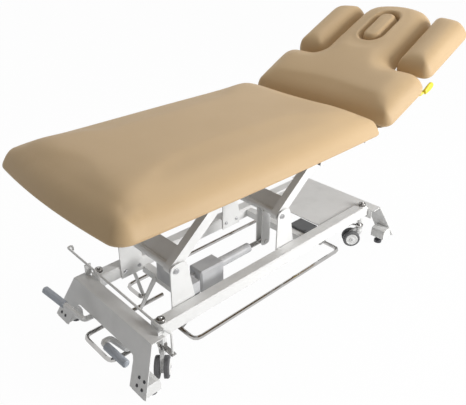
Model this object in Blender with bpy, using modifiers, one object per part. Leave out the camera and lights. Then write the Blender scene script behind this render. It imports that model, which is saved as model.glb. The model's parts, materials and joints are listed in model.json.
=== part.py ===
"""Electrically raised massage table with a tilting head section and retracting castors.

Frame: metres, +X runs from the foot end to the head end, +Y to the far side, +Z up.
All places are first given in base coordinates, whose origin is on the floor under the
middle of the two end bridges; the root empty then centres the whole table on the origin.
Run with: blender --background --python part.py
"""
import math

import bmesh
import bpy
from mathutils import Matrix, Vector

# Driving dimensions
CUSHION_WIDTH = 0.700
MAIN_LENGTH = 1.080
MAIN_THICKNESS = 0.078
HEAD_LENGTH = 0.648
HEAD_THICKNESS = 0.074
HEAD_TILT = math.radians(25.2)
BASE_LENGTH = 1.250
PIVOT_Z = 0.332
LIFT_FOOT_X = -0.459
LIFT_HEAD_X = 0.047
LIFT_ARM = 0.365
LIFT_ANGLE = math.radians(39.5)
TOP_STACK = 0.14383145
LYING_HEIGHT = PIVOT_Z + LIFT_ARM * math.sin(LIFT_ANGLE) + TOP_STACK
MAIN_END_AHEAD = 0.498357027
MAIN_END_X = LIFT_FOOT_X + LIFT_ARM * math.cos(LIFT_ANGLE) + MAIN_END_AHEAD
RAIL_TOP_Z = 0.198

# General clearances and finishes
GAP = 0.0003
RUN_GAP = 0.001
CUT_OVERRUN = 0.004
SHEET = 0.003
WELD = 0.0008
EDGE = 0.0012
SPARE = 0.49

# Upholstery
MAIN_ROLL = 0.062
MAIN_CORNER_PULL = 0.030
MAIN_CROWN = 0.006
MAIN_SIDE_PULL = 0.006
MAIN_GROW = 0.0065
HEAD_ROLL = 0.050
HEAD_CORNER_PULL = 0.014
HEAD_CROWN = 0.005
HEAD_WIDTH = 0.676
HEAD_START_X = 0.0119
HEAD_TOP_Z = 0.0629
SHOULDER_AT = 0.256
SHOULDER_RUN = 0.038
NECK_HOLD = 0.060
NECK_WIDTH = 0.365
TIP_WIDTH = 0.335
FACE_HOLE_AT = 0.500
FACE_HOLE_LENGTH = 0.190
FACE_HOLE_WIDTH = 0.092
OVAL_SHARE = 0.85
TIP_BOW = 0.028
PLUG_GAP = 0.0006
PLUG_DEPTH = 0.052
PLUG_RISE = 0.006
PLUG_ROUND = 0.011
PAD_START = 0.318
PAD_LENGTH = 0.326
PAD_WIDTH = 0.134
PAD_GAP = 0.004
PAD_ROLL = 0.042
PAD_CORNER_PULL = 0.012
PAD_CROWN = 0.004
BOARD = 0.012
BOARD_INSET = 0.030
BOARD_CORNER = 0.030
MAIN_BOARD_CORNER = 0.075

# Base frame
BRIDGE_TOP_Z = 0.183
BRIDGE_TOP_DEPTH = 0.052
BRIDGE_LEAN = 0.069
BRIDGE_FOOT_Z = 0.030
BRIDGE_APRON = 0.070
BRIDGE_FLANGE = 0.042
LEG_WIDTH = 0.086
LEG_FILLET = 0.022
RAIL_INNER_Y = 0.153
RAIL_WIDTH = 0.050
RAIL_HEIGHT = 0.050
RAIL_ROUND = 0.005
BRIDGE_PROUD = 0.060
BRIDGE_SPLAY = 0.093
BRIDGE_WIDTH = 2.0 * (RAIL_INNER_Y + RAIL_WIDTH) + BRIDGE_PROUD
BRIDGE_FOOT_SPREAD = BRIDGE_WIDTH + BRIDGE_SPLAY
STEM_X = 0.552
STEM_Y = 0.183
SLEEVE_R = 0.0160
SLEEVE_BOTTOM_Z = 0.122
SLEEVE_PROUD = 0.002
STEM_R = 0.0090
STEM_CAP_R = 0.0125
STEM_CAP_H = 0.010
BRACKET_INNER_X = 0.626
BRACKET_HEIGHT = 0.046
BRACKET_ROUND = 0.018
BRACKET_Z = 0.026
BRACKET_INSET = 0.011
FOOT_X = 0.640
FOOT_Y = (BRIDGE_FOOT_SPREAD - LEG_WIDTH) / 2.0
FOOT_PAD_R = 0.0170
FOOT_PAD_H = 0.014
FOOT_NECK_R = 0.0100
FOOT_STUD_R = 0.0055
FOOT_STUD_TOP = 0.012
FOOT_TRAVEL = 0.006
CROSS_TUBE = 0.030
CROSS_FOOT_X = -0.369
CROSS_HEAD_X = 0.185
DECK_START_X = 0.290
DECK_DEPTH = 0.030
DECK_DROP = 0.006
CONTROL_BOX_LENGTH = 0.078
CONTROL_BOX_WIDTH = 0.090
CONTROL_BOX_HEIGHT = 0.060

# Lift towers and lift frames
TOWER_PLATE = 0.005
TOWER_WIDTH = 0.096
TOWER_TOP_R = 0.022
TOWER_TOP_WIDTH = 0.066
ARM_TUBE_W = 0.030
ARM_TUBE_H = 0.040
ARM_SIDE_GAP = 0.005
ARM_END_R = 0.020
PIVOT_TUBE_R = 0.013
WEB_START = 0.016
WEB_LENGTH = 0.062
UPPER_TUBE_AT_SHARE = 0.80
UPPER_TUBE_R = 0.014
PIN_R = 0.0060
PIN_HEAD_R = 0.0095
PIN_HEAD_H = 0.005
PIN_GAP = 0.0004

# Actuator
ACT_Y = -0.060
ACT_Z = 0.186
ACT_REAR_X = -0.330
ACT_BODY_START = -0.306
ACT_BODY_LENGTH = 0.112
ACT_BODY_WIDTH = 0.070
ACT_BODY_HEIGHT = 0.092
ACT_BODY_DROP = 0.016
ACT_TUBE_END = -0.034
ACT_TUBE_R = 0.0190
ACT_ROD_R = 0.0100
ACT_STROKE_IN = 0.0680
ACT_EYE_R = 0.015
ACT_EYE_W = 0.014
CRANK_PLATE = 0.006
CRANK_WIDTH = 0.044
CRANK_GAP = 0.0035
MOUNT_X = -0.392
MOUNT_DEPTH = 0.036
MOUNT_Z = 0.158
MOUNT_HEIGHT = 0.080
MOUNT_REACH = 0.200
EAR_PLATE = 0.004

# Top frame
FRAME_TUBE_W = 0.025
FRAME_TUBE_H = 0.028
FRAME_Y = 0.215
HINGE_AHEAD = 0.041
HINGE_DROP = 0.080
HINGE_X = MAIN_END_X + HINGE_AHEAD
HINGE_Z = LYING_HEIGHT - HINGE_DROP
FRAME_TUCK = 0.083
FRAME_FOOT_X = MAIN_END_X - MAIN_LENGTH + FRAME_TUCK
HINGE_EAR = 0.005
HINGE_EAR_R = 0.0100
HINGE_PIN_R = 0.004
HINGE_Y = 0.290
TOP_EAR_R = 0.017
HEAD_FRAME_Y = 0.190
NECK_SHARE = 0.74
HEAD_FRAME_START = 0.050
HEAD_FRAME_LENGTH = 0.540
HEAD_TUBE = 0.024
STRUT_BEHIND = 0.138
STRUT_FALL = 0.125
STRUT_X = HINGE_X - STRUT_BEHIND
STRUT_Z = HINGE_Z - STRUT_FALL
STRUT_Y = -0.170
STRUT_ALONG = 0.184
STRUT_DROP = 0.082
STRUT_STROKE = 0.055
STRUT_PIN_R = 0.0032
STRUT_BODY_R = 0.0100
STRUT_ROD_R = 0.0045
STRUT_BODY_SHARE = 0.60
STRUT_EYE_R = 0.008
LEVER_ALONG = 0.274
LEVER_START_Y = -0.153
LEVER_TUCK = 0.017
LEVER_REACH = HEAD_WIDTH / 2.0 + LEVER_START_Y - LEVER_TUCK
LEVER_LENGTH = 0.070
LEVER_R = 0.006
PAD_ARM_W = 0.022
PAD_ARM_H = 0.014
PAD_ARM_LENGTH = 0.250
PAD_HINGE_DROP = 0.022
PAD_EAR_R = 0.011

# Castors
WHEEL_R = 0.0375
WHEEL_W = 0.0165
WHEEL_GAP = 0.0012
TYRE_ROUND = 0.004
FORK_W = 0.013
CASTOR_TRAIL = 0.032
FORK_HEAD_R = 0.0135
FORK_TOP_Z = 0.088
FORK_EYE_R = 0.019
AXLE_R = 0.0040
LIFT_COLLAR_Z = 0.096
LIFT_COLLAR_H = 0.008
LIFT_COLLAR_R = 0.0165
LIFT_BAR_T = 0.004
LIFT_BAR_W = 0.018
LIFT_BAR_OUT = 0.062
LIFT_BAR_IN = 0.022
HEAD_BAR_BEND_X = 0.509
HEAD_BAR_END_X = 0.375
HEAD_BAR_SIDE = 0.028
HEAD_BAR_Z = 0.116
CASTOR_HEADINGS = {
    "foot_near": math.radians(-133.2),
    "foot_far": math.radians(-110.0),
    "head_near": math.radians(136.8),
    "head_far": math.radians(25.0),
}

# Linking rod and pedals
ROD_R = 0.0042
ROD_X = -0.5700
ROD_Z = 0.2020
ROD_FAR_Y = 0.3400
ROD_FAR_Z = 0.2400
ROD_FAR_X = -0.5840
ROD_BEND = 0.016
ROD_HOOK = 0.020
TAB_T = 0.004
TAB_W = 0.024
TAB_Y = 0.215
PEDAL_AXIS_Z = 0.088
PEDAL_TUBE_R = 0.0100
PEDAL_X = -0.602
PEDAL_BEND = 0.012
RAISED_PEDAL = (
    (-0.602, 0.100, 0.098), (-0.652, 0.098, 0.100), (-0.684, 0.078, 0.120),
    (-0.722, 0.268, 0.159),
)
LOWERED_PEDAL = (
    (-0.602, -0.100, 0.078), (-0.636, -0.098, 0.078), (-0.652, -0.030, 0.088),
    (-0.682, -0.026, 0.089), (-0.672, -0.149, 0.075),
)
GRIP_WALL = 0.0036
ROUND_SHARE = 1.036
GRIP_LENGTH = 0.106
GRIP_END = 0.004
ROCKER_BEAM_HALF = 0.106
ROCKER_TILT = math.radians(5.5)
ROCKER_T = 0.006
ROCKER_W = 0.026
ROCKER_SHAFT_R = 0.008
ROCKER_HUB_R = 0.014

# Foot switch bars
BAR_R = 0.0078
BAR_BEND = 0.028
SIDE_BAR_Z = 0.060
SIDE_BAR_Y = 0.205
SIDE_BAR_FOOT_X = -0.432
SIDE_BAR_HEAD_X = 0.376
SIDE_BAR_INNER_Y = 0.108
END_BAR_Z = 0.046
END_BAR_X = -0.690
END_BAR_Y = 0.083
END_BAR_INNER_X = -0.352
END_PIVOT_X = -0.465
BAR_TURN_IN = 0.030
BAR_BRACKET_IN = 0.014
BAR_BRACKET_W = 0.026
HANGER_T = 0.004
HANGER_W = 0.022

PARTS = bpy.data.collections.new("massage_table")
CUTTERS = bpy.data.collections.new("massage_table_cutters")
MATERIALS = {}
COLOURS = {
    "white_coat": ((0.86, 0.86, 0.85), 0.35, 0.0),
    "beige_cover": ((0.66, 0.52, 0.37), 0.45, 0.0),
    "chrome": ((0.78, 0.78, 0.78), 0.12, 1.0),
    "steel": ((0.55, 0.55, 0.56), 0.35, 1.0),
    "grey_plastic": ((0.60, 0.61, 0.63), 0.45, 0.0),
    "grip_grey": ((0.36, 0.39, 0.44), 0.60, 0.0),
    "dark_plastic": ((0.06, 0.06, 0.065), 0.50, 0.0),
    "black_rubber": ((0.03, 0.03, 0.03), 0.75, 0.0),
    "wheel_white": ((0.85, 0.85, 0.85), 0.40, 0.0),
    "board_wood": ((0.52, 0.40, 0.26), 0.60, 0.0),
    "lever_yellow": ((0.90, 0.80, 0.05), 0.40, 0.0),
}


def clear_scene():
    """Remove whatever the open file holds and link the two collections."""
    for obj in list(bpy.data.objects):
        bpy.data.objects.remove(obj, do_unlink=True)
    bpy.context.scene.collection.children.link(PARTS)
    bpy.context.scene.collection.children.link(CUTTERS)


def material(name):
    """Return the named Principled material, made on first use."""
    if name not in MATERIALS:
        colour, roughness, metallic = COLOURS[name]
        mat = bpy.data.materials.new(name)
        mat.use_nodes = True
        shader = mat.node_tree.nodes["Principled BSDF"]
        shader.inputs["Base Color"].default_value = (*colour, 1.0)
        shader.inputs["Roughness"].default_value = roughness
        shader.inputs["Metallic"].default_value = metallic
        MATERIALS[name] = mat
    return MATERIALS[name]


def pivot(name, at, parent=None, tilt=0.0, turn=0.0):
    """Make an empty on a joint axis; at is in the parent's own coordinates."""
    empty = bpy.data.objects.new(name, None)
    empty.empty_display_size = CROSS_TUBE
    empty.location = at
    empty.rotation_euler = (0.0, tilt, turn)
    empty.parent = parent
    PARTS.objects.link(empty)
    bpy.context.view_layer.update()
    return empty


def into(parent, point):
    """Turn base coordinates into the parent empty's own coordinates."""
    world = ROOT.matrix_world @ Vector(point)
    return parent.matrix_world.inverted() @ world


def add_object(name, data, mat, parent, at, rotation=(0.0, 0.0, 0.0)):
    """Link a data block as a named part under its parent."""
    obj = bpy.data.objects.new(name, data)
    if mat is not None:
        data.materials.append(material(mat))
    obj.parent = parent
    obj.location = at
    obj.rotation_euler = rotation
    PARTS.objects.link(obj)
    return obj


def smooth(obj, angle=math.radians(35.0)):
    """Shade the mesh smooth, sharp over the given angle."""
    obj.data.shade_smooth()
    obj.data.set_sharp_from_angle(angle=angle)
    return obj


def bevel(obj, width, segments=1):
    """Round the edges of a part."""
    mod = obj.modifiers.new("rounded", "BEVEL")
    mod.width = width
    mod.segments = segments
    mod.limit_method = "ANGLE"
    mod.angle_limit = math.radians(40.0)
    return obj


def box(name, size, mat, parent, at, rotation=(0.0, 0.0, 0.0), rounding=0.0):
    """A block of the given size centred at a place."""
    bm = bmesh.new()
    bmesh.ops.create_cube(bm, size=1.0)
    bmesh.ops.transform(bm, matrix=Matrix.Diagonal((*size, 1.0)), verts=bm.verts)
    mesh = bpy.data.meshes.new(name)
    bm.to_mesh(mesh)
    bm.free()
    obj = add_object(name, mesh, mat, parent, at, rotation)
    if rounding > 0.0:
        bevel(obj, rounding)
    return obj


def rod_between(name, start, end, radius, mat, parent, segments=12):
    """A round bar from one point to another, in the parent's coordinates."""
    start, end = Vector(start), Vector(end)
    run = end - start
    bm = bmesh.new()
    bmesh.ops.create_cone(
        bm, cap_ends=True, segments=segments, radius1=radius, radius2=radius, depth=run.length
    )
    mesh = bpy.data.meshes.new(name)
    bm.to_mesh(mesh)
    bm.free()
    turn = run.to_track_quat("Z", "Y").to_euler()
    return smooth(add_object(name, mesh, mat, parent, (start + end) / 2.0, turn))


def turned(name, profile, mat, parent, at, rotation=(0.0, 0.0, 0.0), segments=16):
    """Spin a profile of (radius, height) points, given top to bottom, about local Z."""
    mesh = bpy.data.meshes.new(name)
    points = [(radius, 0.0, height) for radius, height in profile]
    mesh.from_pydata(points, [(i, i + 1) for i in range(len(points) - 1)], [])
    obj = add_object(name, mesh, mat, parent, at, rotation)
    mod = obj.modifiers.new("turned", "SCREW")
    mod.steps = segments
    mod.render_steps = segments
    mod.use_merge_vertices = True
    mod.merge_threshold = 0.00005
    mod.use_smooth_shade = True
    return obj


def to_mesh(obj):
    """Replace a curve object by its welded mesh, keeping name, place and parent."""
    bpy.context.view_layer.update()
    graph = bpy.context.evaluated_depsgraph_get()
    mesh = bpy.data.meshes.new_from_object(obj.evaluated_get(graph))
    bm = bmesh.new()
    bm.from_mesh(mesh)
    bmesh.ops.remove_doubles(bm, verts=bm.verts, dist=0.00002)
    bmesh.ops.recalc_face_normals(bm, faces=bm.faces)
    bm.to_mesh(mesh)
    bm.free()
    name, parent = obj.name, obj.parent
    place, turn = obj.location.copy(), obj.rotation_euler.copy()
    mat = obj.data.materials[0]
    bpy.data.objects.remove(obj, do_unlink=True)
    solid = bpy.data.objects.new(name, mesh)
    mesh.materials.clear()
    mesh.materials.append(mat)
    solid.parent = parent
    solid.location = place
    solid.rotation_euler = turn
    PARTS.objects.link(solid)
    return smooth(solid)


def rounded(points, radii, steps=2):
    """Replace each corner of a closed 2D outline by an arc of its own radius."""
    count = len(points)
    out = []
    for i, corner in enumerate(points):
        radius = radii[i] if isinstance(radii, (list, tuple)) else radii
        here = Vector(corner)
        before = Vector(points[i - 1]) - here
        after = Vector(points[(i + 1) % count]) - here
        half = before.angle(after) / 2.0
        reach = radius / math.tan(half) if radius > 0.0 else 0.0
        reach = min(reach, before.length * SPARE, after.length * SPARE)
        if reach <= 0.0:
            out.append(tuple(here))
            continue
        first = here + before.normalized() * reach
        last = here + after.normalized() * reach
        for k in range(steps + 1):
            t = k / steps
            a = first.lerp(here, t)
            b = here.lerp(last, t)
            out.append(tuple(a.lerp(b, t)))
    return out


def plate(name, outline, thickness, mat, parent, at, rotation=(math.pi / 2.0, 0.0, 0.0)):
    """A flat plate from a closed outline; by default the outline's plane is X and Z."""
    curve = bpy.data.curves.new(name, "CURVE")
    curve.dimensions = "2D"
    curve.fill_mode = "BOTH"
    curve.extrude = thickness / 2.0
    spline = curve.splines.new("POLY")
    spline.points.add(len(outline) - 1)
    for point, (u, v) in zip(spline.points, outline):
        point.co = (u, v, 0.0, 1.0)
    spline.use_cyclic_u = True
    return to_mesh(add_object(name, curve, mat, parent, at, rotation))


def bent(points, bend, steps=5):
    """Round the inner corners of a 3D path to the bend radius."""
    path = [Vector(points[0])]
    bends = bend if isinstance(bend, list) else [bend] * (len(points) - 2)
    for before, here, after, radius in zip(points, points[1:], points[2:], bends):
        here = Vector(here)
        back = Vector(before) - here
        ahead = Vector(after) - here
        half = back.angle(ahead) / 2.0
        reach = min(radius / math.tan(half), back.length * SPARE, ahead.length * SPARE)
        first = here + back.normalized() * reach
        last = here + ahead.normalized() * reach
        for k in range(steps + 1):
            t = k / steps
            path.append(first.lerp(here, t).lerp(here.lerp(last, t), t))
    path.append(Vector(points[-1]))
    return path


def tube(name, points, radius, mat, parent, bend=0.0, steps=3, resolution=2):
    """A round bar swept along a path given in the parent's coordinates."""
    path = bent(points, bend, steps) if bend else [Vector(p) for p in points]
    curve = bpy.data.curves.new(name, "CURVE")
    curve.dimensions = "3D"
    curve.bevel_depth = radius
    curve.bevel_resolution = resolution
    curve.use_fill_caps = True
    spline = curve.splines.new("POLY")
    spline.points.add(len(path) - 1)
    for point, place in zip(spline.points, path):
        point.co = (*place, 1.0)
    return to_mesh(add_object(name, curve, mat, parent, (0.0, 0.0, 0.0)))


def as_cutter(obj):
    """Move an object to the cutters: hidden in renders and drawn as wire."""
    for owner in list(obj.users_collection):
        owner.objects.unlink(obj)
    CUTTERS.objects.link(obj)
    obj.hide_render = True
    obj.display_type = "WIRE"
    return obj


def combine(obj, others, operation="UNION"):
    """Join other bodies to a part, or cut them from it."""
    for other in others:
        as_cutter(other)
        mod = obj.modifiers.new("cut" if operation == "DIFFERENCE" else "joined", "BOOLEAN")
        mod.operation = operation
        mod.solver = "EXACT"
        mod.object = other
    return obj


def cut(obj, *cutters):
    """Cut shared cutter bodies from a part."""
    return combine(obj, cutters, "DIFFERENCE")


def cushion(name, columns, rows, place, mat, parent, at, levels=2):
    """A padded form from a coarse cage.

    columns and rows are the cage's cut places as shares of its length and width, and
    place(u, v, top) gives each cage corner from its shares and the layer it is on.
    """
    bm = bmesh.new()
    bmesh.ops.create_cube(bm, size=1.0)
    for axis, shares in ((0, columns), (1, rows)):
        normal = Vector((1.0, 0.0, 0.0)) if axis == 0 else Vector((0.0, 1.0, 0.0))
        for share in shares[1:-1]:
            everything = list(bm.verts) + list(bm.edges) + list(bm.faces)
            bmesh.ops.bisect_plane(
                bm, geom=everything, plane_co=normal * (share - 0.5), plane_no=normal
            )
    for vert in bm.verts:
        vert.co = Vector(place(vert.co.x + 0.5, vert.co.y + 0.5, vert.co.z > 0.0))
    bmesh.ops.recalc_face_normals(bm, faces=bm.faces)
    mesh = bpy.data.meshes.new(name)
    bm.to_mesh(mesh)
    bm.free()
    obj = add_object(name, mesh, mat, parent, at)
    mod = obj.modifiers.new("padding", "SUBSURF")
    mod.levels = levels
    mod.render_levels = levels
    obj.data.shade_smooth()
    return obj


ROOT = None
FACE_TURN = Matrix.Rotation(math.pi / 2.0, 4, "Z") @ Matrix.Rotation(math.pi / 2.0, 4, "X")


def build_bridge(side, parent):
    """One end bridge: a bent sheet with a top, a leaning apron, two legs and their brackets.

    Args:
        side: -1 for the foot end, +1 for the head end.
    """
    label = "foot" if side < 0 else "head"
    bend_x = side * BASE_LENGTH / 2.0
    rear_x = bend_x - side * BRIDGE_TOP_DEPTH
    drop = BRIDGE_TOP_Z - BRIDGE_FOOT_Z
    slant = math.hypot(drop, BRIDGE_LEAN)
    lean = math.atan2(BRIDGE_LEAN, drop)
    half_top = BRIDGE_WIDTH / 2.0
    half_foot = BRIDGE_FOOT_SPREAD / 2.0
    right = [
        (half_top, 0.0),
        (half_foot, -slant),
        (half_foot - LEG_WIDTH, -slant),
        (half_foot - LEG_WIDTH - LEG_FILLET, -BRIDGE_APRON),
    ]
    left = [(-u, v) for u, v in reversed(right)]
    radii = [SHEET, SHEET, SHEET, LEG_FILLET, LEG_FILLET, SHEET, SHEET, SHEET]
    face = plate(
        f"{label}_bridge", rounded(right + left, radii), SHEET, "white_coat", parent,
        (bend_x - side * SHEET / 2.0, 0.0, BRIDGE_TOP_Z - WELD),
    )
    face.data.transform(FACE_TURN)
    face.rotation_euler = (0.0, -side * lean, 0.0)
    more = [
        box(
            f"{label}_bridge_top", (BRIDGE_TOP_DEPTH - WELD, BRIDGE_WIDTH - WELD, SHEET),
            "white_coat", parent,
            ((bend_x + rear_x - side * WELD) / 2.0, 0.0, BRIDGE_TOP_Z - SHEET / 2.0),
        ),
        box(
            f"{label}_bridge_flange", (SHEET, BRIDGE_WIDTH - LEG_FILLET, BRIDGE_FLANGE),
            "white_coat", parent,
            (rear_x + side * (SHEET / 2.0 + GAP), 0.0,
             BRIDGE_TOP_Z - WELD - BRIDGE_FLANGE / 2.0),
        ),
    ]
    cuts = []
    for hand in (-1, 1):
        bracket, bore = build_leg_bracket(side, hand, lean, parent)
        more.append(bracket)
        cuts.append(bore)
    if side < 0:
        more += build_rod_tabs(parent) + build_rocker_bracket(parent)
    combine(face, more)
    cut(face, *cuts)
    return face


def leg_point(side, hand, z):
    """The outer face's x and the leg's middle y at a height."""
    share = (BRIDGE_TOP_Z - z) / (BRIDGE_TOP_Z - BRIDGE_FOOT_Z)
    x = side * (BASE_LENGTH / 2.0 + BRIDGE_LEAN * share)
    y = hand * (BRIDGE_FOOT_SPREAD / 2.0 - LEG_WIDTH / 2.0)
    return x, y


def build_leg_bracket(side, hand, lean, parent):
    """The lobe behind a leg that takes the levelling foot, and the foot's thread bore."""
    low_x, leg_y = leg_point(side, hand, BRACKET_Z)
    high_x, _ = leg_point(side, hand, BRACKET_Z + BRACKET_HEIGHT)
    back = side * (SHEET / math.cos(lean) - WELD)
    inner = side * BRACKET_INNER_X
    outline = [(low_x - back, 0.0), (high_x - back, BRACKET_HEIGHT), (inner, BRACKET_HEIGHT),
               (inner, 0.0)]
    bracket = plate(
        f"bracket_{side}_{hand}",
        rounded(outline, [0.0, 0.0, BRACKET_ROUND, EDGE]),
        LEG_WIDTH - 2.0 * BRACKET_INSET, "white_coat", parent, (0.0, leg_y, BRACKET_Z),
    )
    bore = rod_between(
        f"cut_stud_{side}_{hand}",
        (side * FOOT_X, hand * FOOT_Y, 0.0),
        (side * FOOT_X, hand * FOOT_Y, BRACKET_Z + FOOT_STUD_TOP + FOOT_TRAVEL + RUN_GAP),
        FOOT_STUD_R + PIN_GAP, "steel", parent, segments=12,
    )
    return bracket, bore


def build_rod_tabs(parent):
    """Notched tabs on the foot bridge's rear edge that the link rod lies over."""
    rear_x = -(BASE_LENGTH / 2.0 - BRIDGE_TOP_DEPTH)
    near_y = ROD_BEND - (STEM_Y + LIFT_BAR_OUT - LIFT_BAR_W / 2.0)
    tabs = []
    for hand in (-1, 1):
        share = (hand * TAB_Y - near_y) / (ROD_FAR_Y - near_y)
        rod_z = ROD_Z + (ROD_FAR_Z - ROD_Z) * share
        low = BRIDGE_TOP_Z - WELD
        high = rod_z - ROD_R - RUN_GAP * 1.5
        tabs.append(box(
            f"tab_{hand}", (TAB_W, TAB_T, high - low), "white_coat", parent,
            (rear_x - WELD * 4.0, hand * TAB_Y, (low + high) / 2.0),
        ))
    return tabs


def build_base_frame(parent):
    """The welded ladder frame: rails, cross tubes, castor sleeves and bar brackets."""
    rear_x = BASE_LENGTH / 2.0 - BRIDGE_TOP_DEPTH - GAP
    rail_y = RAIL_INNER_Y + RAIL_WIDTH / 2.0
    rail_z = RAIL_TOP_Z - RAIL_HEIGHT / 2.0
    pieces, bores = [], []
    for hand in (-1, 1):
        pieces.append(box(
            f"side_rail_{hand}", (2.0 * rear_x, RAIL_WIDTH, RAIL_HEIGHT), "white_coat", parent,
            (0.0, hand * rail_y, rail_z), rounding=RAIL_ROUND,
        ))
        for side in (-1, 1):
            x, y = side * STEM_X, hand * STEM_Y
            pieces.append(rod_between(
                f"sleeve_{side}_{hand}", (x, y, SLEEVE_BOTTOM_Z),
                (x, y, RAIL_TOP_Z + SLEEVE_PROUD), SLEEVE_R, "white_coat", parent, segments=16,
            ))
            bores.append(rod_between(
                f"cut_sleeve_{side}_{hand}", (x, y, SLEEVE_BOTTOM_Z - CUT_OVERRUN),
                (x, y, RAIL_TOP_Z + SLEEVE_PROUD + CUT_OVERRUN), STEM_R + PIN_GAP, "steel",
                parent, segments=16,
            ))
        for x in (SIDE_BAR_FOOT_X, SIDE_BAR_HEAD_X):
            inward = BAR_BRACKET_IN if x < 0.0 else -BAR_BRACKET_IN
            half = BAR_BRACKET_W / 2.0
            rail_mid = hand * (RAIL_INNER_Y + half + RUN_GAP * 3.0)
            low = SIDE_BAR_Z - half
            high = RAIL_TOP_Z - RAIL_HEIGHT + WELD
            mid = hand * SIDE_BAR_INNER_Y
            strap = plate(
                f"bar_bracket_{hand}_{x}",
                rounded(
                    [(mid - half, low), (mid + half, low), (rail_mid + half, high),
                     (rail_mid - half, high)],
                    [half, half, 0.0, 0.0], steps=3,
                ),
                TAB_T, "white_coat", parent, (x + inward, 0.0, 0.0),
            )
            strap.data.transform(FACE_TURN)
            strap.rotation_euler = (0.0, 0.0, 0.0)
            pieces.append(strap)
            bores.append(rod_between(
                f"cut_bar_{hand}_{x}",
                (x + inward - TAB_T, hand * SIDE_BAR_INNER_Y, SIDE_BAR_Z),
                (x + inward + TAB_T, hand * SIDE_BAR_INNER_Y, SIDE_BAR_Z),
                BAR_R + RUN_GAP, "steel", parent, segments=12,
            ))
    reach = RAIL_INNER_Y + RAIL_ROUND
    foot_z = MOUNT_Z - GAP - CROSS_TUBE / 2.0
    head_z = RAIL_TOP_Z - RAIL_HEIGHT / 2.0
    for label, x, z in (("foot", CROSS_FOOT_X, foot_z), ("head", CROSS_HEAD_X, head_z)):
        pieces.append(box(
            f"cross_tube_{label}", (CROSS_TUBE, 2.0 * reach, CROSS_TUBE), "white_coat", parent,
            (x, 0.0, z),
        ))
    frame = pieces[0]
    frame.name = "base_frame"
    combine(frame, pieces[1:])
    return cut(frame, *bores)


def build_levelling_feet(parent):
    """The four threaded feet, each on its own upright axis."""
    top = BRACKET_Z - FOOT_TRAVEL - GAP
    for side, end in ((-1, "foot"), (1, "head")):
        for hand, where in ((-1, "near"), (1, "far")):
            name = f"levelling_foot_{end}_{where}"
            axis = pivot(f"pivot_{name}", (side * FOOT_X, hand * FOOT_Y, 0.0), parent)
            turned(
                name,
                [(0.0, BRACKET_Z + FOOT_STUD_TOP), (FOOT_STUD_R, BRACKET_Z + FOOT_STUD_TOP),
                 (FOOT_STUD_R, top), (FOOT_NECK_R, top), (FOOT_NECK_R, FOOT_PAD_H),
                 (FOOT_PAD_R, FOOT_PAD_H - EDGE), (FOOT_PAD_R, 0.0), (0.0, 0.0)],
                "black_rubber", axis, (0.0, 0.0, 0.0), segments=12,
            )


def build_deck(parent):
    """The covering deck plate at the head end and the control box before it."""
    rear_x = BASE_LENGTH / 2.0 - BRIDGE_TOP_DEPTH - GAP
    deck_z = RAIL_TOP_Z - DECK_DROP
    length = rear_x - DECK_START_X
    middle = DECK_START_X + length / 2.0
    half = RAIL_INNER_Y - GAP
    deck = box(
        "deck_plate", (length, 2.0 * half, SHEET), "white_coat", parent,
        (middle, 0.0, deck_z - SHEET / 2.0),
    )
    combine(deck, [
        box(
            f"deck_lip_{hand}", (length, SHEET, DECK_DEPTH), "white_coat", parent,
            (middle, hand * (half - SHEET / 2.0), deck_z - DECK_DEPTH / 2.0),
        )
        for hand in (-1, 1)
    ])
    box(
        "control_box", (CONTROL_BOX_LENGTH, CONTROL_BOX_WIDTH, CONTROL_BOX_HEIGHT),
        "dark_plastic", parent,
        (CROSS_HEAD_X + CROSS_TUBE / 2.0 + GAP + CONTROL_BOX_LENGTH / 2.0,
         CONTROL_BOX_WIDTH / 2.0 - half, RAIL_TOP_Z - CONTROL_BOX_HEIGHT / 2.0 - EDGE),
        rounding=SHEET,
    )


def build_towers(parent):
    """Upright plates on the rails that carry the lift frames' lower pivots."""
    base_z = RAIL_TOP_Z - RAIL_HEIGHT
    outer_y = RAIL_INNER_Y - GAP
    left = -TOWER_TOP_R
    height = PIVOT_Z + TOWER_TOP_R - base_z
    outline = rounded(
        [(left, 0.0), (left + TOWER_WIDTH, 0.0), (left + TOWER_WIDTH, RAIL_HEIGHT),
         (left + TOWER_TOP_WIDTH, height), (left, height)],
        [0.0, 0.0, SHEET, TOWER_TOP_R, TOWER_TOP_R],
    )
    for label, x in (("foot", LIFT_FOOT_X), ("head", LIFT_HEAD_X)):
        for hand, where in ((-1, "near"), (1, "far")):
            tower = plate(
                f"{label}_tower_{where}", outline, TOWER_PLATE, "white_coat", parent,
                (x, hand * (outer_y - TOWER_PLATE / 2.0), base_z),
            )
            cut(tower, rod_between(
                f"cut_{label}_tower_{where}",
                (x, hand * (outer_y - TOWER_PLATE - CUT_OVERRUN), PIVOT_Z),
                (x, hand * (outer_y + CUT_OVERRUN), PIVOT_Z),
                PIN_R + PIN_GAP, "steel", parent, segments=12,
            ))


def arm_outer_y():
    """Outer face of the lift arms, inside the tower plates."""
    return RAIL_INNER_Y - GAP - TOWER_PLATE - ARM_SIDE_GAP


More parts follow.
